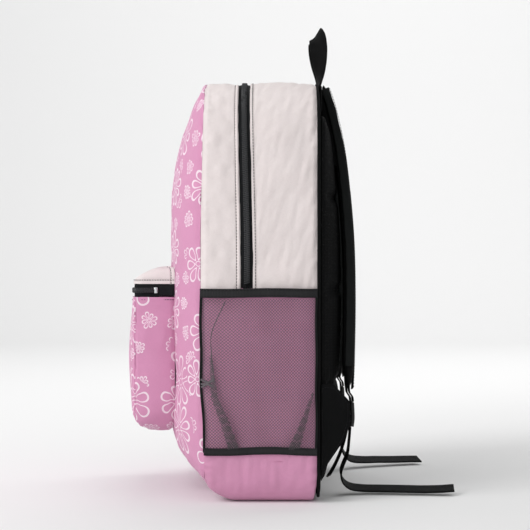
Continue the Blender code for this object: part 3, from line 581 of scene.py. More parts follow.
class Nodes:
    """The node tree of one material, with short calls for the nodes that the fabrics share."""

    def __init__(self, name):
        self.material = bpy.data.materials.new(name)
        self.material.use_nodes = True
        self.tree = self.material.node_tree
        self.shader = self.tree.nodes["Principled BSDF"]

    def link(self, a, b):
        self.tree.links.new(a, b)

    def put(self, socket, value):
        if isinstance(value, bpy.types.NodeSocket):
            self.link(value, socket)
        else:
            socket.default_value = value

    def maths(self, operation, a, b=None, c=None, clamp=False):
        node = self.tree.nodes.new("ShaderNodeMath")
        node.operation = operation
        node.use_clamp = clamp
        for socket, value in zip(node.inputs, (a, b, c)):
            if value is not None:
                self.put(socket, value)
        return node.outputs[0]

    def plus(self, a, b):
        return self.maths("ADD", a, b)

    def minus(self, a, b, clamp=False):
        return self.maths("SUBTRACT", a, b, clamp=clamp)

    def times(self, a, b, clamp=False):
        return self.maths("MULTIPLY", a, b, clamp=clamp)

    def over(self, a, b):
        return self.maths("DIVIDE", a, b)

    def scaled(self, a, by, shift, clamp=False):
        return self.maths("MULTIPLY_ADD", a, by, shift, clamp)

    def length(self, x, y):
        return self.maths("SQRT", self.plus(self.times(x, x), self.times(y, y)))

    def cells(self, vector, cell, randomness, dimensions):
        node = self.tree.nodes.new("ShaderNodeTexVoronoi")
        node.voronoi_dimensions = dimensions
        node.inputs["Scale"].default_value = 1 / cell
        node.inputs["Randomness"].default_value = randomness
        self.link(vector, node.inputs["Vector"])
        return node.outputs

    def metres(self):
        """Coordinates along the piece's own surface, in metres."""
        node = self.tree.nodes.new("ShaderNodeUVMap")
        node.uv_map = "UVMap"
        return node.outputs[0]

    def space(self):
        return self.tree.nodes.new("ShaderNodeTexCoord").outputs["Object"]

    def split(self, vector):
        node = self.tree.nodes.new("ShaderNodeSeparateXYZ")
        self.link(vector, node.inputs[0])
        return node.outputs[0], node.outputs[1], node.outputs[2]

    def join(self, x, y, z=0.0):
        node = self.tree.nodes.new("ShaderNodeCombineXYZ")
        for socket, value in zip(node.inputs, (x, y, z)):
            self.put(socket, value)
        return node.outputs[0]

    def noise(self, vector, size, detail=3.0):
        node = self.tree.nodes.new("ShaderNodeTexNoise")
        self.link(vector, node.inputs["Vector"])
        node.inputs["Scale"].default_value = 1 / size
        node.inputs["Detail"].default_value = detail
        return node.outputs["Fac"]

    def between(self, share, a, b):
        node = self.tree.nodes.new("ShaderNodeMix")
        node.data_type = "RGBA"
        self.put(node.inputs[0], share)
        for socket, value in ((node.inputs[6], a), (node.inputs[7], b)):
            self.put(socket, value if isinstance(value, bpy.types.NodeSocket) else (*value, 1))
        return node.outputs[2]

    def bump(self, height, distance, strength=1.0, under=None):
        node = self.tree.nodes.new("ShaderNodeBump")
        node.inputs["Strength"].default_value = strength
        node.inputs["Distance"].default_value = distance
        self.link(height, node.inputs["Height"])
        if under is not None:
            self.link(under, node.inputs["Normal"])
        return node.outputs[0]

    def weave(self, u, v, pitch):
        """Plain weave: threads along both directions that pass over and under each other."""
        a = self.times(u, math.pi / pitch)
        b = self.times(v, math.pi / pitch)
        over = self.times(self.maths("SINE", a), self.maths("SINE", b))
        warp = self.maths("ABSOLUTE", self.maths("COSINE", a))
        weft = self.maths("ABSOLUTE", self.maths("COSINE", b))
        high = self.maths("GREATER_THAN", over, 0.0)
        low = self.minus(1.0, high)
        return self.plus(self.times(warp, high), self.times(weft, low))

    def finish(self, colour, normal, roughness, sheen=0.0, specular=0.3):
        self.put(self.shader.inputs["Base Color"], colour)
        self.put(self.shader.inputs["Roughness"], roughness)
        if normal is not None:
            self.link(normal, self.shader.inputs["Normal"])
        self.shader.inputs["Sheen Weight"].default_value = sheen
        self.shader.inputs["Sheen Roughness"].default_value = 0.5
        self.shader.inputs["Specular IOR Level"].default_value = specular
        return self.material


def plain_fabric(name, tones, pitch=0.0008, sheen=0.15, rough=0.82, print_on=None, specular=0.3):
    """Plain-woven polyester: painted shade between the threads and a painted highlight on their crowns,
    slubs, soft unevenness and faint rubbed patches.
    """
    n = Nodes(name)
    colour, shade, light = tones
    u, v, _ = n.split(n.metres())
    where = n.join(u, v)
    weave = n.weave(u, v, pitch)
    slub_u = n.noise(n.join(n.times(u, 14.0), v), 0.0035, 2.0)
    slub_v = n.noise(n.join(u, n.times(v, 14.0)), 0.0035, 2.0)
    slubs = n.plus(slub_u, slub_v)
    broad = n.noise(where, 0.055, 4.0)
    worn = n.noise(where, 0.016, 5.0)
    ground = n.between(n.scaled(broad, 1.6, -0.3, clamp=True), shade, colour)
    if print_on is not None:
        ground = n.between(print_on(n, u, v), ground, PRINT_LINE)
    threads = n.scaled(slubs, 0.20, -0.20)
    threads = n.plus(threads, n.scaled(weave, 0.16, -0.10))
    # painted shade: darker where the weave dips between the threads, and where the slubs run thin
    ground = n.between(n.maths("ABSOLUTE", n.maths("MINIMUM", threads, 0.0)), ground, (0.0, 0.0, 0.0))
    rubbed = n.times(n.minus(worn, 0.55, clamp=True), 0.6)
    # the rubbed patches are wear; the thread crowns get a painted highlight
    ground = n.between(n.plus(rubbed, n.maths("MAXIMUM", threads, 0.0)), ground, light)
    relief = n.bump(weave, 0.00020, 0.8)
    relief = n.bump(slubs, 0.00035, 0.5, relief)
    relief = n.bump(broad, 0.004, 0.25, relief)
    roughness = n.scaled(weave, 0.10, rough - 0.05)
    return n.finish(ground, relief, roughness, sheen, specular)


def petals(n, u, v, cell, largest, seed, line):
    """Outlined daisies on a jittered grid, one petal in each sector: 1 on a line and 0 elsewhere."""
    shift = n.join(n.plus(u, seed), n.plus(v, seed * 0.7))
    found = n.cells(shift, cell, 0.5, "2D")
    x0, y0, _ = n.split(found["Position"])
    sx, sy, _ = n.split(shift)
    x, y = n.minus(sx, x0), n.minus(sy, y0)
    red, green, blue = n.split(found["Color"])
    radius = n.length(x, y)
    size = n.scaled(red, largest * 0.35, largest * 0.65)
    count = n.maths("FLOOR", n.scaled(green, 2.99, 7.0))
    turn = n.scaled(blue, 2 * math.pi, n.maths("ARCTAN2", y, x))
    turn = n.times(n.over(turn, 2 * math.pi), count)
    sector = n.maths("FLOOR", n.plus(turn, 0.5))
    fold = n.times(n.over(n.minus(turn, sector), count), 2 * math.pi)
    whole = n.scaled(green, 5.0, n.times(n.maths("WRAP", sector, count, 0.0), 2.399))
    reach = n.times(size, n.scaled(n.maths("SINE", whole), 0.10, 0.92))
    along = n.times(radius, n.maths("COSINE", fold))
    aside = n.times(radius, n.maths("SINE", fold))
    half_long = n.times(reach, 0.37)
    middle = n.times(reach, 0.63)
    half_wide = n.over(n.times(reach, 1.50), count)
    far = n.over(n.minus(along, middle), half_long)
    taper = n.scaled(n.maths("MINIMUM", n.maths("MAXIMUM", far, -1.0), 1.0), 0.55, 0.95)
    off = n.over(aside, n.times(half_wide, taper))
    oval = n.length(far, off)
    edge = n.times(n.maths("ABSOLUTE", n.minus(oval, 1.0)), half_wide)
    petal = n.maths("LESS_THAN", edge, line)
    squashed = n.maths("SQRT", n.plus(n.times(x, x), n.times(n.times(y, y), 1.5)))
    ring = n.maths("ABSOLUTE", n.minus(squashed, n.times(size, 0.155)))
    ring = n.maths("LESS_THAN", ring, line * 0.8)
    inside = n.maths("LESS_THAN", radius, n.plus(size, 0.002))
    return n.maths("MAXIMUM", petal, ring), inside


def daisies(n, u, v):
    """The printed lines: large outlined daisies, with small ones where there is room."""
    big, taken = petals(n, u, v, *BIG_DAISY)
    small, _ = petals(n, u, v, *SMALL_DAISY)
    small = n.times(small, n.minus(1.0, taken))
    return n.maths("MAXIMUM", big, small)


def webbing_fabric(name, colour, light, pitch=0.0016, chevron=True):
    """Black webbing: ribs that run to a herringbone, with a painted dull sheen, a lighter colour, on the
    crowns of the threads.
    """
    n = Nodes(name)
    u, v, _ = n.split(n.metres())
    slant = n.plus(v, n.maths("PINGPONG", u, 0.0033)) if chevron else v
    ribs = n.maths("ABSOLUTE", n.maths("SINE", n.times(slant, math.pi / pitch)))
    cross = n.maths("ABSOLUTE", n.maths("SINE", n.times(u, math.pi / (pitch * 0.6))))
    relief = n.scaled(cross, 0.35, ribs)
    fuzz = n.noise(n.join(u, v), 0.0012, 3.0)
    broad = n.noise(n.join(u, v), 0.03, 3.0)
    # painted sheen: the colour is lighter where the ribs and cross threads stand up
    ground = n.between(n.times(relief, 0.6, clamp=True), colour, light)
    ground = n.between(n.scaled(broad, 0.8, -0.2, clamp=True), ground, colour)
    bumped = n.bump(relief, 0.0003, 0.8)
    bumped = n.bump(fuzz, 0.0003, 0.5, bumped)
    roughness = n.scaled(fuzz, 0.2, 0.55)
    return n.finish(ground, bumped, roughness, 0.0, 0.1)


def spacer_mesh(name, colour, light):
    """Padded black mesh: small open cells over foam, with painted shade in the cells' hollows and their
    walls lighter.
    """
    n = Nodes(name)
    cells = n.cells(n.space(), 0.0032, 0.25, "3D")["Distance"]
    broad = n.noise(n.space(), 0.05, 4.0)
    # painted shade: the colour darkens towards the middle of each cell, where the mesh dips
    ground = n.between(n.times(cells, 1.4, clamp=True), colour, light)
    ground = n.between(n.scaled(broad, 0.8, -0.2, clamp=True), ground, colour)
    bumped = n.bump(cells, 0.0009, 0.9)
    bumped = n.bump(broad, 0.004, 0.3, bumped)
    return n.finish(ground, bumped, n.scaled(cells, 0.2, 0.75), 0.0, 0.12)


def hard(name, colour, rough, metallic=0.0, scratch=0.15, coat=0.0):
    """Moulded plastic or painted metal, with fine scratches and a slightly uneven gloss."""
    n = Nodes(name)
    fine = n.noise(n.space(), 0.0009, 4.0)
    broad = n.noise(n.space(), 0.012, 3.0)
    worn = tuple(min(1.0, c * 2.2 + 0.02) for c in colour)
    ground = n.between(n.minus(fine, 0.52, clamp=True), colour, worn)
    roughness = n.scaled(broad, scratch, rough)
    n.shader.inputs["Metallic"].default_value = metallic
    n.shader.inputs["Coat Weight"].default_value = coat
    return n.finish(ground, n.bump(fine, 0.0002, 0.3), roughness, 0.0, 0.5)


PALE_TONES = (0.86, 0.785, 0.775), (0.82, 0.735, 0.725), (0.90, 0.845, 0.835)
PINK_TONES = (0.72, 0.33, 0.51), (0.665, 0.295, 0.47), (0.80, 0.44, 0.60)
PRINT_TONES = (0.715, 0.315, 0.51), (0.67, 0.29, 0.475), (0.79, 0.43, 0.60)
LINING_TONES = (0.045, 0.045, 0.052), (0.03, 0.03, 0.035), (0.09, 0.09, 0.10)
BLACK_TONES = (0.0050, 0.0052, 0.0055), (0.0034, 0.0036, 0.0038), (0.012, 0.012, 0.013)
PALE = plain_fabric("pale_fabric", PALE_TONES)
PINK = plain_fabric("pink_fabric", PINK_TONES)
PRINTED = plain_fabric("printed_fabric", PRINT_TONES, print_on=daisies)
LINING = plain_fabric("lining", LINING_TONES, 0.0007, 0.1)
BLACK = plain_fabric("black_fabric", BLACK_TONES, 0.0009, 0.0, 0.9, specular=0.12)
WEBBING = webbing_fabric("black_webbing", (0.0016, 0.0018, 0.0018), (0.0045, 0.0048, 0.0050))
BINDING = webbing_fabric("binding", (0.0050, 0.0056, 0.0056), (0.016, 0.018, 0.018), 0.0011, chevron=False)
ELASTIC = webbing_fabric("elastic", (0.014, 0.014, 0.015), (0.040, 0.040, 0.042), 0.0014, chevron=False)
TAPE = webbing_fabric("zip_tape", (0.0045, 0.0048, 0.0055), (0.018, 0.019, 0.021), 0.0010)
SPACER = spacer_mesh("spacer_mesh", (0.0016, 0.0017, 0.0018), (0.006, 0.0062, 0.0065))
NET_CORD = webbing_fabric("net", (0.120, 0.105, 0.115), (0.230, 0.210, 0.224), 0.0009)
THREAD = webbing_fabric("dark_thread", (0.055, 0.050, 0.054), (0.10, 0.095, 0.10), 0.0006)
BLACK_THREAD = webbing_fabric("black_thread", (0.012, 0.012, 0.013), (0.035, 0.035, 0.037), 0.0006)
COIL = hard("zip_coil", (0.024, 0.025, 0.027), 0.24, scratch=0.10)
ENAMEL = hard("slider_metal", (0.012, 0.012, 0.013), 0.28, metallic=0.4, coat=0.3)
PLASTIC = hard("buckle_plastic", (0.006, 0.0063, 0.0067), 0.36)
STEEL = hard("steel", (0.62, 0.63, 0.64), 0.26, metallic=1.0)


# ---------------------------------------------------------------- free webbing tails

TAIL_ROUTES = {
    "right": [
        (0.1000, 0.0975, 0.0765),
        (0.0990, 0.0962, 0.0600),
        (0.0970, 0.0945, 0.0460),
        (0.0940, 0.0900, 0.0340),
        (0.0905, 0.0878, 0.0245),
        (0.0870, 0.0905, 0.0150),
        (0.0840, 0.0985, 0.0085),
        (0.0815, 0.1130, 0.0060),
        (0.0810, 0.1330, 0.0055),
        (0.0835, 0.1550, 0.0055),
        (0.0865, 0.1770, 0.0055),
        (0.0890, 0.1960, 0.0062),
        (0.0905, 0.2120, 0.0075),
    ],
    "left": [
        (-0.1000, 0.0975, 0.0765),
        (-0.1010, 0.0968, 0.0600),
        (-0.1040, 0.0965, 0.0440),
        (-0.1090, 0.0985, 0.0290),
        (-0.1160, 0.1040, 0.0175),
        (-0.1240, 0.1130, 0.0115),
        (-0.1330, 0.1270, 0.0090),
        (-0.1420, 0.1450, 0.0080),
        (-0.1500, 0.1640, 0.0070),
        (-0.1570, 0.1830, 0.0065),
        (-0.1620, 0.2000, 0.0060),
    ],
}
TAIL_TILT = math.radians(14)


def tails():
    """The free ends of the adjuster webbing, from the ladder-locks down to the floor."""
    for side, route in TAIL_ROUTES.items():
        count = 72
        path = smooth_curve(route, count)
        share = np.linspace(0, 1, count)
        tip = TAIL_TILT * np.minimum(1.0, share / 0.4)
        across = np.column_stack([np.cos(tip), np.zeros(count), -np.sin(tip)])
        tail = webbing("strap_tail_piece_" + side, path, [WEB_WIDE] * count, across, WEB, WEBBING)
        place(tail, "strap_" + side, ["strap_tail_" + side])


tails()


# ---------------------------------------------------------------- bag body

FLAP_BEND = ((0, 0, 0.236), (0, 0, 0.330))  # where the fabric turns as the front opens
GUSSET_FRONT_Y = (FRONT_SEAM_Y + 0.0012, ZIP_Y - ZIP_HALF + 0.0004)
GUSSET_REAR_Y = (ZIP_Y + ZIP_HALF - 0.0004, REAR_SEAM_Y + 0.0006)
SEAM_DIP, SEAM_WIDE = 0.0016, 0.005
HEM = 0.0034  # width of the folded edge beside the zip
GUSSET_LOW_Z = 0.2262  # the gussets end behind the elastic


def strip_grid(outline, depths, lift=False):
    """A grid over an outline in X and Z and a row of depths."""
    rows = []
    for x, z in outline:
        rows.append([(x, y, lifted(z, y) if lift else z) for y in depths])
    return np.array(rows)


def fine_arch(inset, low_z=GUSSET_LOW_Z):
    """The arch in the steps that the gussets and the main zip share."""
    return arch(inset, low_z, steps=44, upright=56, level=34)


def along_outline(outline):
    """The distance along an outline from its right end, at each of its points."""
    return run_length(np.column_stack([outline, np.zeros(len(outline))]))


def gusset(y0, y1, zip_side, seed):
    """A strip of pale fabric over the top: folded and stitched beside the zip, pulled in at its seam."""
    outline = fine_arch(0.0)
    span = abs(y1 - y0)
    share = 0.5 - 0.5 * np.cos(np.linspace(0, np.pi, 40))
    depths = y0 + (y1 - y0) * share
    zip_y, seam_y = (y1, y0) if zip_side > 0 else (y0, y1)
    points = strip_grid(outline, depths)
    s = along_outline(outline)[:, None]
    from_zip = np.abs(depths - zip_y)[None, :]
    from_seam = np.abs(depths - seam_y)[None, :]
    waves = pucker(s, 0.0105, s * 37 + seed, 2.2)
    height = 0.0011 * soft_noise(s, depths[None, :], 0.060, seed) * np.minimum(1, from_seam / 0.012)
    height += 0.0005 * soft_noise(s, depths[None, :] * 2.5, 0.022, seed + 1)
    height += 0.0018 * np.sin(np.pi * np.clip(from_zip / span, 0, 1)) * min(1.0, span / 0.05)
    height -= SEAM_DIP * dip(from_seam, SEAM_WIDE) + 0.00045 * waves * dip(from_seam - 0.004, 0.005)
    height += 0.0007 * (1 - ease(HEM - 0.0006, HEM + 0.0004, from_zip))
    height -= 0.0007 * dip(from_zip - HEM, 0.0010) + 0.0016 * dip(from_zip, 0.0009)
    height += 0.00022 * waves * dip(from_zip - HEM - 0.003, 0.004)
    return raised(points, height, BAG_MIDDLE), nearest(from_zip[0], HEM)


def nearest(values, target):
    return int(np.argmin(np.abs(values - target)))


def seam_line(points, column):
    """The path of one column of a grid, with its normals, for a row of stitches on it."""
    n = grid_normals(points, BAG_MIDDLE)
    return points[:, column] + n[:, column] * 0.0002, n[:, column]


def gussets():
    points, hem = gusset(*GUSSET_FRONT_Y, 1, 3)
    front = cloth("gusset_front_fabric", points, PALE)
    stitched = thread("gusset_front_stitches", *seam_line(points, hem), THREAD)
    nodes = ["gusset_front", "gusset_foot_right", "gusset_foot_left"]
    bend(front, "front_flap", *FLAP_BEND, "pale_fabric", nodes)
    bend(stitched, "front_flap", *FLAP_BEND, "pale_fabric")
    points, hem = gusset(*GUSSET_REAR_Y, -1, 8)
    place(cloth("gusset_rear_fabric", points, PALE), "root", ["gusset_rear"])
    place(thread("gusset_rear_stitches", *seam_line(points, hem), THREAD), "root")


def front_panel():
    """The printed front, one domed sheet that the opening folds over the pocket."""
    heights = FRONT_LIFT + (HEIGHT - FRONT_LIFT) * (0.5 - 0.5 * np.cos(np.linspace(0, np.pi, 110)))
    shares = across_steps(40)
    rows = []
    for z in heights:
        half = half_width(z) - 0.0004
        rows.append([(half * s, front_y(half * s, z), z) for s in shares])
    points = np.array(rows)
    x, z = points[..., 0], points[..., 2]
    half = np.array([half_width(h) for h in heights])[:, None]
    edge = np.minimum(half - np.abs(x), np.minimum(HEIGHT - z, z - FRONT_LIFT + 0.0005))
    wave = pucker(z + np.abs(x), 0.012, z * 41)
    height = 0.0016 * soft_noise(x, z, 0.085, 21) * np.minimum(1, edge / 0.02)
    height += 0.0006 * soft_noise(x, z, 0.03, 22) - SEAM_DIP * dip(edge, 0.0045)
    height += 0.0005 * wave * dip(edge - 0.004, 0.006)
    points = raised(points, height, BAG_MIDDLE)
    uv = np.stack([grid_lengths(points)[..., 0], z], axis=2)
    panel = cloth("front_panel_fabric", points, PRINTED, uvs=uv)
    bend(panel, "front_flap", *FLAP_BEND, "printed_fabric", ["front_panel_lower", "front_panel_upper"])


def side_panels():
    for side, s in SIDES.items():
        depths = np.linspace(FRONT_SEAM_Y + 0.0012, REAR_SEAM_Y, 30)
        heights = np.linspace(BASE_TOP_Z - 0.002, GUSSET_LOW_Z + 0.0012, 40)
        y, z = np.meshgrid(depths, heights)
        points = np.stack([np.full(y.shape, s * WIDTH / 2), y, z], axis=2)
        edge = np.minimum(y - depths[0], depths[-1] - y)
        height = 0.0010 * soft_noise(y, z, 0.05, 31) * np.minimum(1, edge / 0.01)
        height += 0.0008 * soft_noise(y * 2.2, z, 0.06, 32) - 0.0012 * dip(edge, 0.004)
        points = raised(points, height - 0.0006, BAG_MIDDLE)
        panel = cloth("side_panel_fabric_" + side, points, PINK)
        place(panel, "root", ["side_panel_" + side])


def base():
    outline = cradle(0.0, BASE_TOP_Z + 0.0048, steps=16, upright=12, level=22)
    depths = FRONT_SEAM_Y + 0.0012 + (REAR_SEAM_Y - FRONT_SEAM_Y - 0.0012) * np.linspace(0, 1, 46)
    points = strip_grid(outline, depths, lift=True)
    s = along_outline(outline)[:, None]
    y = depths[None, :]
    edge = np.minimum(y - depths[0], depths[-1] - y)
    off_floor = np.clip((points[..., 2] - 0.004) / 0.012, 0, 1)
    height = 0.0011 * soft_noise(s, y, 0.05, 41) + 0.0006 * soft_noise(s, y * 2, 0.024, 42)
    wave = pucker(s, 0.013, s * 31)
    height += 0.0006 * wave * dip(edge - 0.004, 0.006)
    height = height * off_floor - SEAM_DIP * dip(edge, SEAM_WIDE)
    points = raised(points, height, BAG_MIDDLE)
    points[..., 2] = np.maximum(points[..., 2], 0.0002)
    place(cloth("base_fabric", points, PINK), "root", ["base_panel"])


def rounded_outline(points, radius):
    """An outline of straight edges with its corners rounded."""
    out = []
    points = [np.array(p, dtype=float) for p in points]
    for i, p in enumerate(points):
        a, b = unit(points[i - 1] - p), unit(points[(i + 1) % len(points)] - p)
        for t in np.linspace(0, 1, 6):
            out.append(p + (1 - t) ** 2 * radius * a + t**2 * radius * b)
    return out


def board(name, low, high, radius, material, bulge=0.0, axis=1):
    """A flat padded leaf across one axis, rounded at its edges and slightly full in the middle."""
    low, high = np.array(low), np.array(high)
    mid, half = (low + high) / 2, (high - low) / 2
    a, b = [k for k in range(3) if k != axis]
    s = across_steps(26)
    u, v = np.meshgrid(s, s)
    rim = np.minimum(half[a] * (1 - np.abs(u)), half[b] * (1 - np.abs(v)))
    full = np.clip(rim / radius, 0, 1)
    full = np.sqrt(1 - (1 - full) ** 2)
    noise = bulge * soft_noise(u * half[a], v * half[b], 0.06, len(name))
    verts = []
    for way in (-1, 1):
        point = np.zeros(u.shape + (3,))
        point[..., a] = mid[a] + u * half[a]
        point[..., b] = mid[b] + v * half[b]
        point[..., axis] = mid[axis] + way * full * (half[axis] - abs(bulge) + noise)
        verts.append(point.reshape(-1, 3))
    uv = np.stack([u * half[a], v * half[b]], axis=2).reshape(-1, 2)
    faces = sheet_faces(len(s), len(s))
    return make_mesh(name, np.vstack(verts), faces, material, np.vstack([uv, uv]))


def interior():
    """The laptop sleeve, its tab and the base stiffener, seen when the front is open."""
    low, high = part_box("laptop_sleeve")
    sleeve = board("laptop_sleeve_fabric", low, high, 0.004, LINING, 0.0003)
    place(sleeve, "root", ["laptop_sleeve"])
    path = resample(np.array([(-0.126, 0.0438, 0.322), (0.126, 0.0438, 0.322)]), 40)
    edge = webbing("laptop_sleeve_binding", path, [0.016] * 40, [UP] * 40, 0.0012, BINDING)
    place(edge, "root")
    low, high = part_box("base_stiffener")
    stiffener = board("base_stiffener_board", low, high, 0.002, LINING, axis=2)
    place(stiffener, "root", ["base_stiffener"])
    tab = [(0.0588, 0.372), (0.0580, 0.352), (0.0525, 0.3375)]
    tab += [(0.0455, 0.3342), (0.0414, 0.3275), (0.0412, 0.298)]
    path = smooth_curve([(0, y, z) for y, z in tab], 30)
    piece = webbing("sleeve_tab_webbing", path, [0.038] * 30, [SIDEWAYS] * 30, 0.0018, WEBBING)
    place(piece, "root", ["sleeve_tab"])
    half, low_z, top_z, y = 0.1268, 0.0132, 0.330, 0.0538
    wall = [(half, y, z) for z in np.linspace(top_z, low_z + 0.004, 30)] + [(half - 0.004, y, low_z)]
    wall += [(x, y, low_z) for x in np.linspace(half - 0.012, 0, 12)]
    wall = np.array(wall + [(-x, y_, z) for x, y_, z in reversed(wall[:-1])])
    out = np.tile(BACKWARDS, (len(wall), 1))
    side_wall = webbing("sleeve_wall_fabric", wall, [0.0127] * len(wall), out, 0.0022, LINING)
    place(side_wall, "root", ["sleeve_gusset"])


# ---------------------------------------------------------------- main zip

TEETH_PITCH, POCKET_TEETH_PITCH = 0.0023, 0.0019
COIL_HALF = 0.0030


def zip_tape(name, way):
    """Half of the zip's tape over the arch: flat from the gusset to the coil's cord."""
    section = [(ZIP_HALF + 0.0022, 0.0016), (ZIP_HALF - 0.0002, 0.0011), (COIL_HALF + 0.0006, 0.0007)]
    section += [(COIL_HALF - 0.0004, 0.0001), (0.0013, -0.0001), (0.0002, 0.0004)]
    under = [(0.0002, 0.0020), (ZIP_HALF + 0.0022, 0.0024)]
    rings = []
    for y, depth in section + under:
        path = fine_arch(depth)
        rings.append(np.column_stack([path[:, 0], np.full(len(path), ZIP_Y + way * y), path[:, 1]]))
    rings = np.stack(rings, axis=1)
    return tube(rings, name, TAPE, uvs=band_uvs(0.02, along_outline(fine_arch(0.0016)), rings.shape[1]))


def teeth(name, path, outward, across, way, first, pitch=TEETH_PITCH):
    """Coil teeth along a path: each one a rounded loop that reaches over the middle of the zip."""
    along = run_length(path)
    verts, faces = [], []
    shape = [(-0.0008, 0.26), (-0.0002, 0.40), (0.0008, 0.44), (0.0018, 0.42), (0.0025, 0.34), (0.0029, 0.2)]
    for i in range(int((along[-1] - first) / pitch)):
        at = first + i * pitch
        p = point_at(at, along, path)
        o = unit(point_at(at, along, outward))
        run = unit(point_at(at + 0.0004, along, path) - p)
        base = len(verts)
        for reach, fat in shape:
            for turn in turns(6):
                high = 0.0011 * math.cos(turn) * (fat / 0.44) + 0.0002
                verts.append(p + across * way * reach + run * fat * pitch * math.sin(turn) + o * high)
        faces += ring_faces(len(shape), 6, base=base)
    return make_mesh(name, verts, faces, COIL)


def main_zip():
    outline = fine_arch(-0.0004, OPENING_LOW_Z + 0.001)
    path = np.column_stack([outline[:, 0], np.full(len(outline), ZIP_Y), outline[:, 1]])
    outward = facing_out(path, BACKWARDS, BAG_MIDDLE)
    across = np.array(BACKWARDS, dtype=float)
    front_nodes = ["main_zip_front_half", "main_zip_foot_right", "main_zip_foot_left"]
    bend(zip_tape("main_zip_front_tape", -1), "front_flap", *FLAP_BEND, "zip_tape", front_nodes)
    front = teeth("main_zip_front_teeth", path, outward, across, -1, 0.002)
    bend(front, "front_flap", *FLAP_BEND, "zip_tape")
    place(zip_tape("main_zip_rear_tape", 1), "root", ["main_zip_rear_half"])
    rear = teeth("main_zip_rear_teeth", path, outward, across, 1, 0.002 + TEETH_PITCH / 2)
    place(rear, "root")


gussets()
front_panel()
side_panels()
base()
interior()
main_zip()


# ---------------------------------------------------------------- front pocket

HOOD_SIDE_Y = front_y(POCKET_HALF, POCKET_ZIP_HIGH_Z) - 0.001  # where the pocket's side meets the front
FINE_STITCH = (0.0028, 0.0007, 0.0003)  # pitch, gap and radius
HOOD_FOLD_ROW = 8  # the row of the hood's grid that its seam by the front panel runs along


def pocket_gusset():
    """The side wall of the front pocket, from the front panel to the pocket's own front seam."""
    high = POCKET_ZIP_LOW_Z - 0.0002
    outline = cradle(0, high, POCKET_HALF, POCKET_LOW_Z, POCKET_RADIUS, steps=22, upright=34, level=22)
    rows = []
    for x, z in outline:
        rear = front_y(x, z) - 0.0004
        face = pocket_seam_y(z) + 0.0006
        rows.append([(x, face + (rear - face) * t, z) for t in np.linspace(0, 1, 26)])
    points = np.array(rows)
    s = along_outline(outline)[:, None]
    y = points[..., 1]
    wide = (y[:, -1:] - y[:, :1]) + 1e-6
    from_face, from_rear = y - y[:, :1], y[:, -1:] - y
    wave = pucker(s, 0.011, s * 45)
    height = 0.0013 * soft_noise(s, y, 0.045, 51) + 0.0022 * np.sin(np.pi * from_face / wide)
    height -= SEAM_DIP * (dip(from_face, 0.004) + dip(from_rear, 0.004))
    height += 0.0005 * wave * (dip(from_face - 0.004, 0.005) + dip(from_rear - 0.004, 0.005))
    points = raised(points, height, POCKET_MIDDLE)
    points[..., 0] = np.clip(points[..., 0], -POCKET_HALF - 0.0024, POCKET_HALF + 0.0024)
    wall = cloth("pocket_gusset_fabric", points, PRINTED, POCKET_MIDDLE)
    place(wall, "root", ["pocket_gusset"])


def pocket_face():
    heights = POCKET_LOW_Z + (POCKET_ZIP_LOW_Z - POCKET_LOW_Z) * np.linspace(0, 1, 70) ** 1.3
    rows = []
    for z in heights:
        half = pocket_front_outline(z)
        rise = math.sin(math.pi * min(1.0, max(0.0, (z - 0.068) / 0.160))) ** 0.7
        seam, dome = pocket_seam_y(z), POCKET_DOME * rise
        rows.append([(half * t, seam - dome * (1 - abs(t) ** 4), z) for t in across_steps(30)])
    points = np.array(rows)
    x, z = points[..., 0], points[..., 2]
    uv = np.stack([x, z], axis=2) + np.array((0.011, 0.017))
    half = np.array([pocket_front_outline(h) for h in heights])[:, None]
    edge = np.minimum(half - np.abs(x), z - POCKET_LOW_Z)
    wave = pucker(z + np.abs(x), 0.011, z * 45)
    height = 0.0014 * soft_noise(x, z, 0.06, 61) * np.minimum(1, edge / 0.015)
    height += 0.0005 * wave * dip(edge - 0.004, 0.006) - 0.0012 * dip(edge, 0.004)
    points = raised(points, height, POCKET_MIDDLE)
    face = cloth("pocket_front_fabric", points, PRINTED, POCKET_MIDDLE, uvs=uv)
    place(face, "root", ["pocket_front"])


def hood_row(y, depth, low_z):
    """Across the pocket's top at a depth: up one side, over, and down the other."""
    front = POCKET_FRONT_Y + depth
    half = POCKET_HALF - depth
    corner_y = front + POCKET_CORNER
    if y < corner_y:
        half -= POCKET_CORNER - math.sqrt(max(0.0, POCKET_CORNER**2 - (corner_y - y) ** 2))
    top = lid_height(y) - depth
    r = min(0.010, (top - low_z) * 0.6)
    path = [(half, z) for z in np.linspace(low_z, top - r, 7)[:-1]]
    path += arc((half - r, top - r), r, 0, 90, 6)
    path += [(x, top) for x in np.linspace(half - r, 0, 15)[1:]]
    return [(x, y, z) for x, z in path] + [(-x, y, z) for x, z in reversed(path[:-1])]


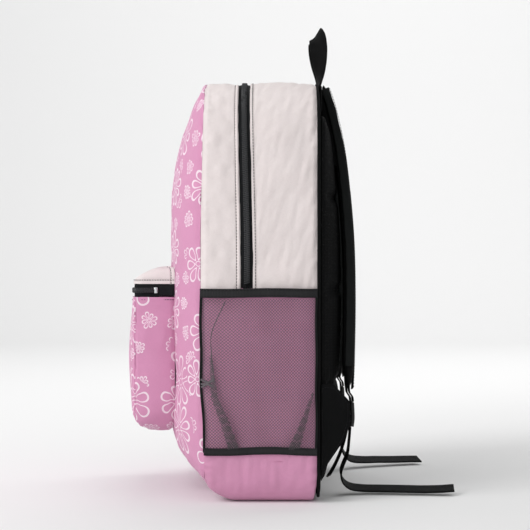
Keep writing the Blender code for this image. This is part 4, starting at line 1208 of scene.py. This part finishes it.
def pocket_hood():
    """The pale top of the pocket, one sheet that turns up where the lid opens, sagging a little."""
    low_z = POCKET_ZIP_HIGH_Z - 0.0006
    ys = list(np.linspace(LID_Y, POCKET_FRONT_Y + 0.012, 18))
    turn = np.radians(np.linspace(0, 90, 12)[1:])
    ys += [POCKET_FRONT_Y + POCKET_CORNER * (1 - math.sin(a)) for a in turn]
    edge = hood_row(LID_Y, 0.0, low_z)
    rows = []
    for run in np.linspace(0.0004, 0.0064, 13):
        rows.append([(x, front_y(x, z) - run, z) for x, _, z in edge])
    for share in (0.75, 0.5, 0.25):
        rows.append([(x, LID_Y + share * (front_y(x, z) - 0.0064 - LID_Y), z) for x, _, z in edge])
    points = np.array(rows + [hood_row(y, 0.0, low_z) for y in ys])
    x, y, z = points[..., 0], points[..., 1], points[..., 2]
    on_top = ease(low_z + 0.006, low_z + 0.014, z)
    height = 0.0012 * soft_noise(x, y, 0.05, 71) * on_top
    height -= 0.0014 * on_top * (1 - np.abs(x) / POCKET_HALF) ** 0.5
    fold = y - y[HOOD_FOLD_ROW]
    height -= 0.0007 * dip(fold, 0.0012)
    hem = z - (low_z + 0.0042)
    height -= 0.0006 * dip(hem, 0.0011)
    height += 0.0004 * (1 - ease(low_z + 0.0030, low_z + 0.0040, z))
    points = raised(points, height, POCKET_MIDDLE)
    start, end = (0, LID_Y + 0.008, 0), (0, LID_Y - 0.006, 0)
    hood = cloth("pocket_lid_fabric", points, PALE, POCKET_MIDDLE)
    bend(hood, "lid", start, end, "pale_fabric", ["pocket_lid", "pocket_top"])
    n = grid_normals(points, POCKET_MIDDLE)
    out = n[HOOD_FOLD_ROW]
    path = points[HOOD_FOLD_ROW] + out * 0.0002
    seam = thread("pocket_fold_stitches", path, out, THREAD, *FINE_STITCH)
    bend(seam, "lid", start, end, "pale_fabric")
    path = band_path(-0.0004, low_z + 0.0042, rear_y=HOOD_SIDE_Y)
    out = facing_out(path, UP, POCKET_MIDDLE)
    hem_line = thread("pocket_hem_stitches", path, out, THREAD, *FINE_STITCH)
    bend(hem_line, "lid", start, end, "pale_fabric")


def band_path(inset, z, rear_y=LID_Y):
    plan = pocket_plan(inset, rear_y)
    return np.column_stack([plan[:, 0], plan[:, 1], np.full(len(plan), z)])


def pocket_band(name, z0, z1, coil_z):
    """Half of the pocket's zip tape, from the fabric's edge to the coil."""
    way = 1 if coil_z == z0 else -1
    far_z = z1 if coil_z == z0 else z0
    section = [(0.0022, far_z + way * 0.0010), (0.0006, far_z), (0.0004, coil_z + way * 0.0026)]
    section += [(-0.0004, coil_z + way * 0.0020), (-0.0004, coil_z + way * 0.0008), (0.0004, coil_z)]
    section += [(0.0022, coil_z)]
    rings = np.stack([band_path(inset, z) for inset, z in section], axis=1)
    uv = band_uvs(0.012, run_length(band_path(0.0, z0)), rings.shape[1])
    return tube(rings, name, TAPE, uvs=uv)


def pocket_zip():
    below, above = POCKET_ZIP_Z - 0.0002, POCKET_ZIP_Z + 0.0002
    lower = pocket_band("pocket_zip_lower_tape", POCKET_ZIP_LOW_Z, below, below)
    place(lower, "root", ["pocket_zip_lower_half"])
    upper = pocket_band("pocket_zip_upper_tape", above, POCKET_ZIP_HIGH_Z, above)
    place(upper, "lid", ["pocket_zip_upper_half"])
    path = band_path(-0.0008, POCKET_ZIP_Z)
    outward = facing_out(path, UP, POCKET_MIDDLE)
    up = np.array(UP, dtype=float)
    pitch = POCKET_TEETH_PITCH
    low_teeth = teeth("pocket_zip_lower_teeth", path, outward, up, -1, 0.001, pitch)
    place(low_teeth, "root")
    high_teeth = teeth("pocket_zip_upper_teeth", path, outward, up, 1, 0.001 + pitch / 2, pitch)
    place(high_teeth, "lid")
    for side, s in SIDES.items():
        node = "pocket_zip_tab_" + side
        low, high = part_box(node)
        x = s * (POCKET_HALF - 0.0002 + 0.00024 * np.sin(np.linspace(0, 9, 14)))
        path = np.column_stack([x, np.linspace(high.y, low.y, 14), np.full(14, POCKET_ZIP_Z)])
        tab = webbing("pocket_zip_end_" + side, path, [0.0124] * 14, [UP] * 14, 0.0022, TAPE)
        place(tab, "root", [node])
    low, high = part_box("pocket_zip_stop")
    mid, half = (low + high) / 2, (high - low) / 2
    rings = []
    for x, k in ((low.x - 0.0006, 1.0), (mid.x, 1.0), (high.x, 0.62)):
        ring = [soft_square(t, 0.4) for t in turns(24)]
        rings.append([(x, mid.y + half.y * k * c, mid.z + half.z * k * d) for c, d in ring])
    stop = tube(rings, "pocket_zip_clamp", STEEL, sharp=30)
    place(stop, "root", ["pocket_zip_stop"])
    seam = band_path(-0.0004, POCKET_ZIP_LOW_Z - 0.0030, rear_y=HOOD_SIDE_Y)
    out = facing_out(seam, UP, POCKET_MIDDLE)
    seam[:, 1] -= 0.0004 * (np.abs(seam[:, 0]) < POCKET_HALF - 0.004)
    place(thread("pocket_top_stitches", seam + out * 0.0012, out, THREAD, 0.0028), "root")


# ---------------------------------------------------------------- net side pockets

NET_CELL = 0.0033  # width and height of one diamond
NET_CORD_RADIUS = 0.00025
FOLDS = (  # each pleat of the net: depth and height at its top, middle and foot, and its width
    ((-0.0500, 0.157), (-0.0475, 0.112), (-0.0285, 0.058), 0.0100),
    ((0.0555, 0.118), (0.0450, 0.088), (0.0350, 0.058), 0.0105),
)


def fold_line(fold, z):
    """Where a pleat's middle lies at a height."""
    top, mid, foot, _ = fold
    return np.interp(z, [foot[1], mid[1], top[1]], [foot[0], mid[0], top[0]])


def net_surface(y, z, s):
    """The net's own shape: full between its edges, with pleats that lean in to the hem."""
    play = np.array([net_x(a, b) for a, b in zip(y.ravel(), z.ravel())]).reshape(y.shape)
    sag = 0.0012 * soft_noise(y, z, 0.07, 81) + 0.0007 * soft_noise(y * 1.6, z * 0.6, 0.03, 82)
    pleat = np.zeros(y.shape)
    for fold in FOLDS:
        top, _, foot, wide = fold
        share = ease(foot[1] + 0.01, top[1], z)
        pleat += 0.0022 * np.exp(-(((y - fold_line(fold, z)) / wide) ** 2)) * (1 - share)
    held = np.clip(play / 0.003, 0, 1)
    x = WIDTH / 2 + 0.0012 + play + (sag + pleat) * held
    return np.stack([s * x, y, z], axis=-1)


def cords(name, nodes, edges):
    """Thin four-sided cords between pairs of points, each drawn with a knot's swelling at its ends."""
    nodes = np.asarray(nodes)
    a, b = nodes[edges[:, 0]], nodes[edges[:, 1]]
    run = unit(b - a)
    side = unit(np.cross(run, np.array((1.0, 0.0, 0.0))))
    over = np.cross(run, side)
    rings = []
    for share, fat in ((0.0, 1.55), (0.28, 0.92), (0.72, 0.92), (1.0, 1.55)):
        middle = a + (b - a) * share
        for turn in turns(4) + math.pi / 4:
            spoke = side * math.cos(turn) + over * math.sin(turn)
            rings.append(middle + spoke * NET_CORD_RADIUS * fat)
    rings = np.stack(rings, axis=1)
    one = ring_faces(4, 4)
    faces = [tuple(v + 16 * i for v in face) for i in range(len(a)) for face in one]
    return make_mesh(name, rings.reshape(-1, 3), faces, NET_CORD)


def net_lattice(inside, cell, slant=0.0):
    """Nodes and edges of a diamond net where inside(y, z) holds."""
    index, nodes, edges = {}, [], []
    rows = int((NET_HIGH_Z - NET_LOW_Z) / (cell / 2)) + 2
    cols = int(0.130 / (cell / 2)) + 2
    for i in range(rows):
        for j in range(-cols // 2, cols // 2):
            if (i + j) % 2:
                continue
            z = NET_LOW_Z - 0.002 + i * cell / 2
            y = j * cell / 2 + slant * (z - NET_LOW_Z)
            if inside(y, z):
                index[i, j] = len(nodes)
                nodes.append((y, z))
    for (i, j), a in index.items():
        for dj in (-1, 1):
            b = index.get((i + 1, j + dj))
            if b is not None:
                edges.append((a, b))
    return np.array(nodes), np.array(edges)


def pocket_net(side, s):
    def whole(y, z):
        return abs(y) < 0.0592 and NET_LOW_Z - 0.001 < z < NET_HIGH_Z + 0.001

    flat, edges = net_lattice(whole, NET_CELL)
    nodes = net_surface(flat[:, 0], flat[:, 1], s)
    net = cords("side_pocket_net_cords_" + side, nodes, edges)
    place(net, "root", ["side_pocket_net_" + side])
    for number, fold in enumerate(FOLDS):
        top, _, foot, wide = fold

        def in_fold(y, z):
            if not foot[1] - 0.001 < z < top[1]:
                return False
            return abs(y - fold_line(fold, z)) < wide * (0.14 + 0.48 * (top[1] - z) / (top[1] - foot[1]))

        for layer, (shift, slant) in enumerate(((0.0006, 0.12), (0.0012, -0.15))):
            flat, edges = net_lattice(in_fold, NET_CELL * 0.72, slant)
            nodes = net_surface(flat[:, 0], flat[:, 1], s)
            nodes[:, 0] += s * shift
            pleat = cords(f"net_pleat_{number}_{layer}_{side}", nodes, edges)
            place(pleat, "root")


def net_gather(side, s):
    """Where the net is caught at its front edge: a knot of cords and the crease that runs up from it."""
    gathered = Solid()
    for size, row in (
        (0.0011, ((-0.0595, 0.1315), (-0.0540, 0.1285), (-0.0475, 0.1300))),
        (0.0011, ((-0.0595, 0.1265), (-0.0535, 0.1262), (-0.0480, 0.1240))),
        (0.0011, ((-0.0590, 0.1230), (-0.0530, 0.1275), (-0.0470, 0.1330))),
        (0.00045, ((-0.0475, 0.130), (-0.0497, 0.160), (-0.0490, 0.182), (-0.0370, 0.214))),
    ):
        path = smooth_curve([(0, y, z) for y, z in row], 20)
        path = net_surface(path[:, 1], path[:, 2], s)
        path[:, 0] += s * 0.0008
        gathered.rod(path, UP, size, size * 0.7, power=0.9, sides=8)
    place(gathered.make("net_gather_" + side, NET_CORD), "root")


def net_edges(side, s):
    """The ribbed elastic at the pocket's mouth, the bound hem, and the bound upright edges."""
    depths = np.linspace(-0.0598, 0.0598, 90)
    for name, z, wide, wave, thick in (
        ("elastic", (NET_HIGH_Z + NET_TOP_Z) / 2 + 0.0005, 0.0097, 0.0004, 0.0026),
        ("hem", (BASE_TOP_Z + NET_LOW_Z) / 2 + 0.0028, 0.0080, 0.0008, 0.0024),
    ):
        zs = z + wave * np.sin(depths * 62 + 1.0)
        x = np.array([WIDTH / 2 + 0.0014 + net_x(y, min(max(z, NET_LOW_Z), NET_TOP_Z)) for y in depths])
        path = np.column_stack([s * (x + 0.0003 * np.sin(depths * 190)), depths, zs])
        band = webbing(f"side_pocket_{name}_band_{side}", path, [wide] * 90, [UP] * 90, thick, ELASTIC)
        place(band, "root", [f"side_pocket_{name}_{side}"])
        for level, off in (("low", -0.32), ("high", 0.32)):
            seam = path + np.array((s * thick * 0.50, 0, wide * off))
            out = np.tile((float(s), 0.0, 0.0), (90, 1))
            line = thread(f"side_pocket_{name}_stitches_{level}_{side}", seam, out, BLACK_THREAD)
            place(line, "root")
    for end, y in (("front", -0.0592), ("rear", 0.0590)):
        zs = np.linspace(NET_LOW_Z - 0.004, NET_HIGH_Z + 0.002, 60)
        x = s * (WIDTH / 2 + 0.0008) + 0.0002 * np.sin(zs * 300)
        path = np.column_stack([x, y + 0.0004 * np.sin(zs * 90), zs])
        widths, across = [0.0026] * 60, [BACKWARDS] * 60
        cord = webbing(f"side_pocket_{end}_edge_{side}", path, widths, across, 0.0020, BINDING)
        place(cord, "root")


pocket_gusset()
pocket_face()
pocket_hood()
pocket_zip()
for side_name, side_sign in SIDES.items():
    pocket_net(side_name, side_sign)
    net_gather(side_name, side_sign)
    net_edges(side_name, side_sign)


# ---------------------------------------------------------------- sliders and pulls


def zip_slider(name, body, node, origin, u, v, n, half_across):
    """A die-cast slider: a waisted plate with turned edges, and the bridge that holds the pull."""
    origin, u, v, n = (np.array(k, dtype=float) for k in (origin, u, v, n))
    piece = Solid()
    outline = []
    for t in turns(40):
        waist = 1 - 0.16 * math.exp(-(((math.cos(t) + 0.15) / 0.35) ** 2))
        a, b = soft_square(t, 0.6)
        outline.append((0.0055 * a, half_across * waist * b))
    rings = []
    for grow, high in ((0.90, 0.0), (1.0, 0.0003), (1.0, 0.0012), (0.93, 0.0016)):
        rings.append([origin + u * a * grow + v * b * grow + n * high for a, b in outline])
    piece.skin(rings)
    path = [(-0.0038, 0.0012), (-0.0040, 0.0030), (-0.0034, 0.0043), (-0.0018, 0.0047), (0.0018, 0.0047)]
    path += [(0.0034, 0.0043), (0.0040, 0.0030), (0.0038, 0.0012)]
    path = smooth_curve([(a, 0, b) for a, b in path], 24)
    path = [origin + u * a + n * b for a, _, b in path]
    piece.rod(path, v, 0.0015, 0.00065)
    place(piece.make(name, ENAMEL), body, [node])


def zip_pull(name, body, node, origin, u, v, n):
    """A pull: a wire eye on the slider's bridge and a flat ribbed tab with a hole."""
    origin, u, v, n = (np.array(k, dtype=float) for k in (origin, u, v, n))

    def at(a, b, c=0.0):
        return origin + u * a + v * b + n * c

    piece = Solid()
    eye = [at(0.0076, -0.0024), at(0.003, -0.0026), at(0.0004, -0.0018), at(0, 0), at(0.0004, 0.0018)]
    eye += [at(0.003, 0.0026), at(0.0076, 0.0024)]
    eye = smooth_curve(eye, 26)
    piece.rod(eye, n, 0.0007, 0.0007, power=0.9, sides=10)
    outline, hole, rings = [], [], []
    for t in turns(56):
        c, d = soft_square(t, 0.45)
        a = 0.0228 + 0.0152 * c
        taper = 0.0040 - 0.0010 * (a - 0.0076) / 0.0304
        outline.append((a, taper * d))
        c, d = soft_square(t, 0.7)
        hole.append((0.0300 + 0.0045 * c, 0.0014 * d))
    for shape, grow, high in (
        (outline, 0.94, 0.0007),
        (outline, 1.0, 0.0004),
        (outline, 1.0, -0.0004),
        (outline, 0.94, -0.0007),
        (hole, 1.0, -0.0007),
        (hole, 0.92, 0.0),
        (hole, 1.0, 0.0007),
    ):
        middle = np.mean(shape, axis=0)
        rings.append([at(*(middle + (np.array(p) - middle) * grow), high) for p in shape])
    piece.skin(rings, closed=True)
    for k in range(6):
        a = 0.0105 + 0.0022 * k
        piece.capped_rod(at(a, -0.0022, 0.0007), at(a, 0.0022, 0.0007), u, 0.0006, 0.0004, 0.0004, 0.8)
    place(piece.make(name, ENAMEL), body, [node])


def sliders():
    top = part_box("main_slider_right")[0].z
    for side, s in SIDES.items():
        low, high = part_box("main_slider_" + side)
        x, y = (low.x + high.x) / 2, (low.y + high.y) / 2
        at, hinge = (x, y, top), (x, y, top + 0.0027)
        node, pull = "main_slider_" + side, "main_pull_" + side
        zip_slider(node + "_body", "slider_" + side, node, at, SIDEWAYS, BACKWARDS, UP, 0.0045)
        zip_pull(pull + "_tab", "pull_" + side, pull, hinge, (s, 0, 0), (0, s, 0), UP)
    low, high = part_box("pocket_slider")
    x, z = (low.x + high.x) / 2, (low.z + high.z) / 2
    at, hinge = (x, high.y, z), (x, high.y - 0.0027, z)
    zip_slider("pocket_slider_body", "pocket_slider", "pocket_slider", at, SIDEWAYS, UP, (0, -1, 0), 0.0036)
    zip_pull("pocket_pull_tab", "pocket_pull", "pocket_pull", hinge, SIDEWAYS, UP, (0, -1, 0))


# ---------------------------------------------------------------- padded pieces

SWELL_FRAMES = 20
BACK_FACE_Y = 0.0636
PAD_SEAMS_Z = (0.125, 0.225, 0.325)
STRAP_WIDE, STRAP_NARROW = 0.062, 0.045
WING_X, WING_Y = 0.1449, 0.0648


def padding(name, node, voxel, pressure, cap, material, hold=None):
    """A foam piece from its CAD solid: remeshed, swollen as cloth under pressure, and capped."""
    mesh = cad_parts[node].data.copy()
    mesh.materials.clear()
    mesh.materials.append(material)
    thing = scene_object(name, mesh)
    remesh = thing.modifiers.new("remesh", "REMESH")
    remesh.mode = "VOXEL"
    remesh.voxel_size = voxel
    smooth = thing.modifiers.new("smooth", "SMOOTH")
    smooth.iterations = 4
    settle(thing)
    before = vertex_array(thing)
    swell = thing.modifiers.new("swell", "CLOTH")
    settings = swell.settings
    settings.use_pressure = True
    settings.uniform_pressure_force = pressure
    settings.effector_weights.gravity = 0
    settings.quality = 4
    swell.collision_settings.use_collision = False
    scene = bpy.context.scene
    for number in range(1, SWELL_FRAMES + 1):
        scene.frame_set(number)
    settle(thing)
    scene.frame_set(1)
    moved = vertex_array(thing) - before
    far = np.linalg.norm(moved, axis=1, keepdims=True)
    after = before + moved * np.minimum(1.0, cap / np.maximum(far, 1e-9))
    if hold:
        after = hold(after)
    thing.data.vertices.foreach_set("co", after.astype(np.float32).ravel())
    thing.data.update()
    subdivision = thing.modifiers.new("subdivision", "SUBSURF")
    subdivision.levels = subdivision.render_levels = 1
    settle(thing)
    thing.data.shade_smooth()
    return thing


def vertex_array(thing):
    co = np.zeros(len(thing.data.vertices) * 3, dtype=np.float32)
    thing.data.vertices.foreach_get("co", co)
    return co.reshape(-1, 3).astype(float)


def settle(thing):
    """Makes what a piece's modifiers show its own mesh."""
    bpy.context.view_layer.update()
    graph = bpy.context.evaluated_depsgraph_get()
    mesh = bpy.data.meshes.new_from_object(thing.evaluated_get(graph))
    thing.modifiers.clear()
    thing.data = mesh


def back_pad():
    """The padded back: two long pads with a hollow down the middle, sewn across at three heights."""

    def shape(points):
        x, y, z = points[:, 0], points[:, 1], points[:, 2]
        outer = ease(0.068, 0.076, y)
        channel = 0.0075 * dip(x, 0.017) * outer
        for height in PAD_SEAMS_Z:
            channel += 0.0040 * dip(z - height, 0.008) * outer * (np.abs(x) > 0.014)
        points[:, 1] = np.maximum(y - channel, 0.0641)
        return points

    pad = padding("back_pad_foam", "back_pad", 0.004, 3.0, 0.0012, SPACER, shape)
    place(pad, "root", ["back_pad"])


def strap_route(s):
    """The middle of a shoulder strap's padding, from the top seam down."""
    return [
        (s * 0.0640, 0.0680, 0.4490),
        (s * 0.0650, 0.0715, 0.4410),
        (s * 0.0665, 0.0785, 0.4180),
        (s * 0.0695, 0.0882, 0.3690),
        (s * 0.0770, 0.0957, 0.2900),
        (s * 0.0850, 0.0973, 0.2200),
        (s * 0.0940, 0.0958, 0.1500),
        (s * 0.0990, 0.0942, 0.1175),
    ]


def strap_frame(s, count):
    """Points down a strap, with the directions of its width and of its outer face, and its half width."""
    path = smooth_curve(strap_route(s), count)
    ahead = unit(np.gradient(path, axis=0))
    side = np.array(SIDEWAYS, dtype=float)
    across = unit(side - ahead * (ahead @ side)[:, None])
    out = np.cross(across, ahead)
    out *= np.sign(out[:, 1:2] + 1e-9)
    share = np.linspace(0, 1, count)
    half = (STRAP_WIDE - (STRAP_WIDE - STRAP_NARROW) * np.maximum(0.0, share - 0.15) / 0.85) / 2
    return path, across, out, half


def straps():
    for side, s in SIDES.items():
        body = "strap_" + side
        pad = padding("strap_foam_" + side, "strap_pad_" + side, 0.0034, 3.0, 0.0007, SPACER)
        place(pad, body, ["strap_pad_" + side])
        count = 90
        path, across, out, half = strap_frame(s, count)
        inner = slice(2, count - 6)
        for edge, way in (("outer", s), ("inner", -s)):
            line = path + across * (half * way)[:, None] * 0.985
            wide = 0.0088 + 0.0004 * np.sin(np.arange(count) * 0.9)
            name = f"strap_binding_{edge}_{side}"
            trim = webbing(name, line[inner], wide[inner], out[inner], 0.0024, BINDING)
            place(trim, body)
            for face, turn in (("outside", 1), ("inside", -1)):
                seam = path + across * ((half - 0.0052) * way)[:, None] + out * turn * 0.0054
                name = f"strap_stitches_{edge}_{face}_{side}"
                row = thread(name, seam[inner], out[inner] * turn, BLACK_THREAD)
                place(row, body)
        centre = path + out * 0.0056
        tape = webbing(f"strap_webbing_{side}", centre[30:], [0.0200] * 60, across[30:], 0.0016, WEBBING)
        place(tape, body)
        for way in (-1, 1):
            seam = centre + across * 0.0082 * way + out * 0.0009
            name = f"strap_webbing_stitches_{'outer' if way * s > 0 else 'inner'}_{side}"
            place(thread(name, seam[32:], out[32:], BLACK_THREAD), body)


def strap_seats():
    """The padded seats between the back and the tops of the straps."""
    for side, s in SIDES.items():
        path, _, out, half = strap_frame(s, 90)
        rings = []
        for k in range(0, 26, 3):
            inside = path[k] - out[k] * 0.0046
            wide = half[k] - 0.0022
            deep = max(0.0010, inside[1] - BACK_FACE_Y)
            ring = []
            for t in turns(28):
                c, d = soft_square(t, 0.3, 0.4)
                ring.append((path[k][0] + wide * c, BACK_FACE_Y + deep * (0.5 + 0.5 * d), inside[2]))
            rings.append(ring)
        uv = [(p[0], p[2]) for ring in rings for p in ring]
        place(tube(rings, "strap_seat_" + side, BLACK, uvs=uv), "root")


def strap_fittings():
    for side, s in SIDES.items():
        body = "strap_" + side
        loop = [(s * 0.0985, 0.0945, 0.1260), (s * 0.0995, 0.0950, 0.1145), (s * LOCK_X, 0.0982, 0.1090)]
        loop += [(s * LOCK_X, LOCK_Y, LOCK_TOP_Z + 0.0006)]
        path = smooth_curve(loop, 24)
        for name, off in (("front", 0.0014), ("back", -0.0014)):
            shifted = path + np.array((0, off, 0))
            widths, across = [0.021] * 24, [SIDEWAYS] * 24
            fold = webbing(f"strap_loop_{name}_{side}", shifted, widths, across, 0.0018, WEBBING)
            place(fold, body, ["strap_loop_" + side] if name == "front" else [])
        ladder_lock(side, s)
        low = [
            (s * 0.1002, 0.0962, 0.0850),
            (s * 0.1005, 0.0940, 0.0745),
            (s * 0.1010, 0.0912, 0.0620),
            (s * 0.1025, 0.0866, 0.0480),
            (s * 0.1045, 0.0816, 0.0370),
            (s * 0.1070, 0.0770, 0.0290),
            (s * 0.1090, 0.0735, 0.0235),
        ]
        path = smooth_curve(low, 44)
        widths, across = [WEB_WIDE] * 44, [SIDEWAYS] * 44
        strip = webbing("lower_webbing_strip_" + side, path, widths, across, WEB, WEBBING)
        nodes = ["lower_webbing_" + side]
        bend(strip, body, (0, 0, 0.030), (0, 0, 0.074), "black_webbing", nodes)


def ladder_lock(side, s):
    """A moulded adjuster: two rails, a top bar for the strap's loop, a gripping bar and a lip."""
    x0, y, low, top = s * LOCK_X, LOCK_Y, LOCK_LOW_Z, LOCK_TOP_Z
    piece = Solid()
    for way in (-1, 1):
        x = x0 + way * 0.0135
        rail = [(x, y, top - 0.0003), (x, y + 0.0004, top - 0.008)]
        rail += [(x, y + 0.0006, low + 0.008), (x, y - 0.0004, low)]
        wide = 0.0016 + 0.0003 * np.sin(np.linspace(0, np.pi, 20))
        piece.rod(smooth_curve(rail, 20), SIDEWAYS, wide, 0.0021, power=0.55)
    for z, wide, thick, off in (
        (top - 0.0019, 0.0019, 0.0019, 0.0),
        (low + 0.0130, 0.0021, 0.0017, 0.0003),
        (low + 0.0019, 0.0020, 0.0021, -0.0002),
    ):
        piece.capped_rod((x0 - 0.0146, y + off, z), (x0 + 0.0146, y + off, z), UP, wide, thick, 0.0012, 0.6)
    for k in range(9):
        x, ridge_y = x0 - 0.0096 + 0.0024 * k, y + 0.0018
        ends = (x, ridge_y, low + 0.0112), (x, ridge_y, low + 0.0148)
        piece.capped_rod(*ends, SIDEWAYS, 0.0006, 0.0005, 0.0004)
    lock = piece.make("ladder_lock_frame_" + side, PLASTIC)
    place(lock, "lock_" + side, ["ladder_lock_" + side])


def inset(outline, middle, by):
    """An outline in two dimensions, drawn in a little towards a middle point."""
    outline = np.asarray(outline, dtype=float)
    away = outline - np.array(middle)
    size = np.linalg.norm(away, axis=1, keepdims=True)
    return np.array(middle) + away * (size - by) / size


def wing_x(y, z, off):
    """How far out a stitched tab stands, slanting in towards the back, with a slight ripple."""
    return WING_X + off - (y - WING_Y) * 0.25 + 0.0008 * np.sin(z * 160)


def wings():
    """The stitched tabs at the foot of the back that the adjuster webbing pulls on."""
    corners = [(0.0640, 0.030), (0.0640, 0.126), (0.0780, 0.1250), (0.0950, 0.107)]
    corners += [(0.0955, 0.082), (0.0890, 0.066), (0.0745, 0.046)]
    outline = np.array(rounded_outline(corners, 0.0035))
    middle = np.mean(outline, axis=0)
    for side, s in SIDES.items():
        rings = []
        for draw, off in ((0.0012, 0.0), (0.0, 0.0006), (0.0, 0.0019), (0.0012, 0.0026), (0.004, 0.0029)):
            rings.append([(s * wing_x(y, z, off), y, z) for y, z in inset(outline, middle, draw)])
        uv = np.tile(outline, (len(rings), 1))
        tab = tube(rings, "wing_fabric_" + side, BLACK, uvs=uv)
        place(tab, "root", ["wing_tab_" + side])
        edge = inset(outline, middle, 0.0035)
        edge = resample(np.column_stack([edge, np.zeros(len(edge))]), 160)
        path = np.column_stack([s * wing_x(edge[:, 0], edge[:, 1], 0.0029), edge[:, 0], edge[:, 1]])
        out = np.tile((float(s), 0.0, 0.0), (len(path), 1))
        place(thread("wing_stitches_" + side, path, out, BLACK_THREAD), "root")


def back_outline(draw=0.0):
    half, low, top = WIDTH / 2 - 0.0025 - draw, 0.0075 + draw, HEIGHT - 0.0025 - draw
    low_r, top_r = BASE_RADIUS - 0.0025 - draw, TOP_RADIUS - draw
    right = arc((half - low_r, low + low_r), low_r, -90, 0, 8)
    right += [(half, z) for z in np.linspace(low + low_r, top - top_r, 16)[1:-1]]
    right += arc((half - top_r, top - top_r), top_r, 0, 90, 18)
    return right + [(-x, z) for x, z in reversed(right)]


def back():
    rings = []
    for draw, y in ((0.0015, 0.0604), (0.0, 0.0609), (0.0, 0.0631), (0.0015, 0.0637), (0.006, 0.0638)):
        rings.append([(x, y, z) for x, z in back_outline(draw)])
    uv = [(p[0], p[2]) for ring in rings for p in ring]
    place(tube(rings, "back_panel_fabric", BLACK, uvs=uv), "root", ["back_board"])
    top = arch(0.0005, 0.050, steps=30, upright=40, level=20)
    bottom = cradle(0.0005, 0.050, low=0.004, steps=14, upright=5, level=20)
    path = np.vstack([top[:-1], (bottom * np.array((-1, 1)))[:-1]])
    path = np.column_stack([path[:, 0], np.full(len(path), 0.0615), path[:, 1]])
    run = unit(np.roll(path, -1, axis=0) - np.roll(path, 1, axis=0))
    out = np.cross(run, np.array(BACKWARDS, dtype=float))
    along = run_length(path)
    radius = 0.0016 + 0.00008 * np.sin(along * 2 * np.pi / 0.004)
    rings = []
    for turn in turns(10):
        rings.append(path + radius[:, None] * (out * math.cos(turn) + np.array(BACKWARDS) * math.sin(turn)))
    uv = band_uvs(0.01, along, 10)
    cord = tube(np.stack(rings, axis=1), "rear_piping_cord", BLACK, closed=True, uvs=uv)
    place(cord, "root", ["rear_piping"])
    low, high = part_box("strap_yoke")
    yoke = board("strap_yoke_patch", low, (high.x, high.y + 0.0006, high.z), 0.0016, BLACK)
    place(yoke, "root", ["strap_yoke"])
    for number, z in enumerate((low.z + 0.003, low.z + 0.0055, high.z - 0.004)):
        path = np.array([(x, high.y + 0.0006, z) for x in np.linspace(low.x + 0.004, high.x - 0.004, 60)])
        row = thread(f"yoke_stitches_{number}", path, np.tile((0.0, 1.0, 0.0), (60, 1)), BLACK_THREAD)
        place(row, "root")


def haul_loop():
    """A webbing loop whose legs lie flat in the seam and turn a quarter towards its crown."""
    half = [(0.0160, 0.0665, 0.4525), (0.0180, 0.0668, 0.4640), (0.0230, 0.0668, 0.4800)]
    half += [(0.0255, 0.0662, 0.4960), (0.0195, 0.0652, 0.5095), (0.0080, 0.0645, 0.5165)]
    route = half + [(-x, y, z) for x, y, z in reversed(half)]
    count = 97
    path = smooth_curve(route, count)
    share = np.linspace(0, 1, count)
    rise = 1 - np.abs(2 * share - 1)
    turn = np.radians(90) * np.clip((rise - 0.04) / 0.62, 0, 1)
    way = np.where(share < 0.5, 1.0, -1.0)
    tilt = np.radians(58) * ease(0.60, 0.95, rise)
    flat = np.sin(turn)
    across = np.column_stack([way * np.cos(turn), flat * np.cos(tilt), flat * np.sin(tilt)])
    loop = webbing("haul_loop_webbing", path, [0.0200] * count, across, 0.0024, WEBBING)
    place(loop, "haul_loop", ["haul_loop"])


sliders()
back()
back_pad()
wings()
straps()
strap_seats()
strap_fittings()
haul_loop()
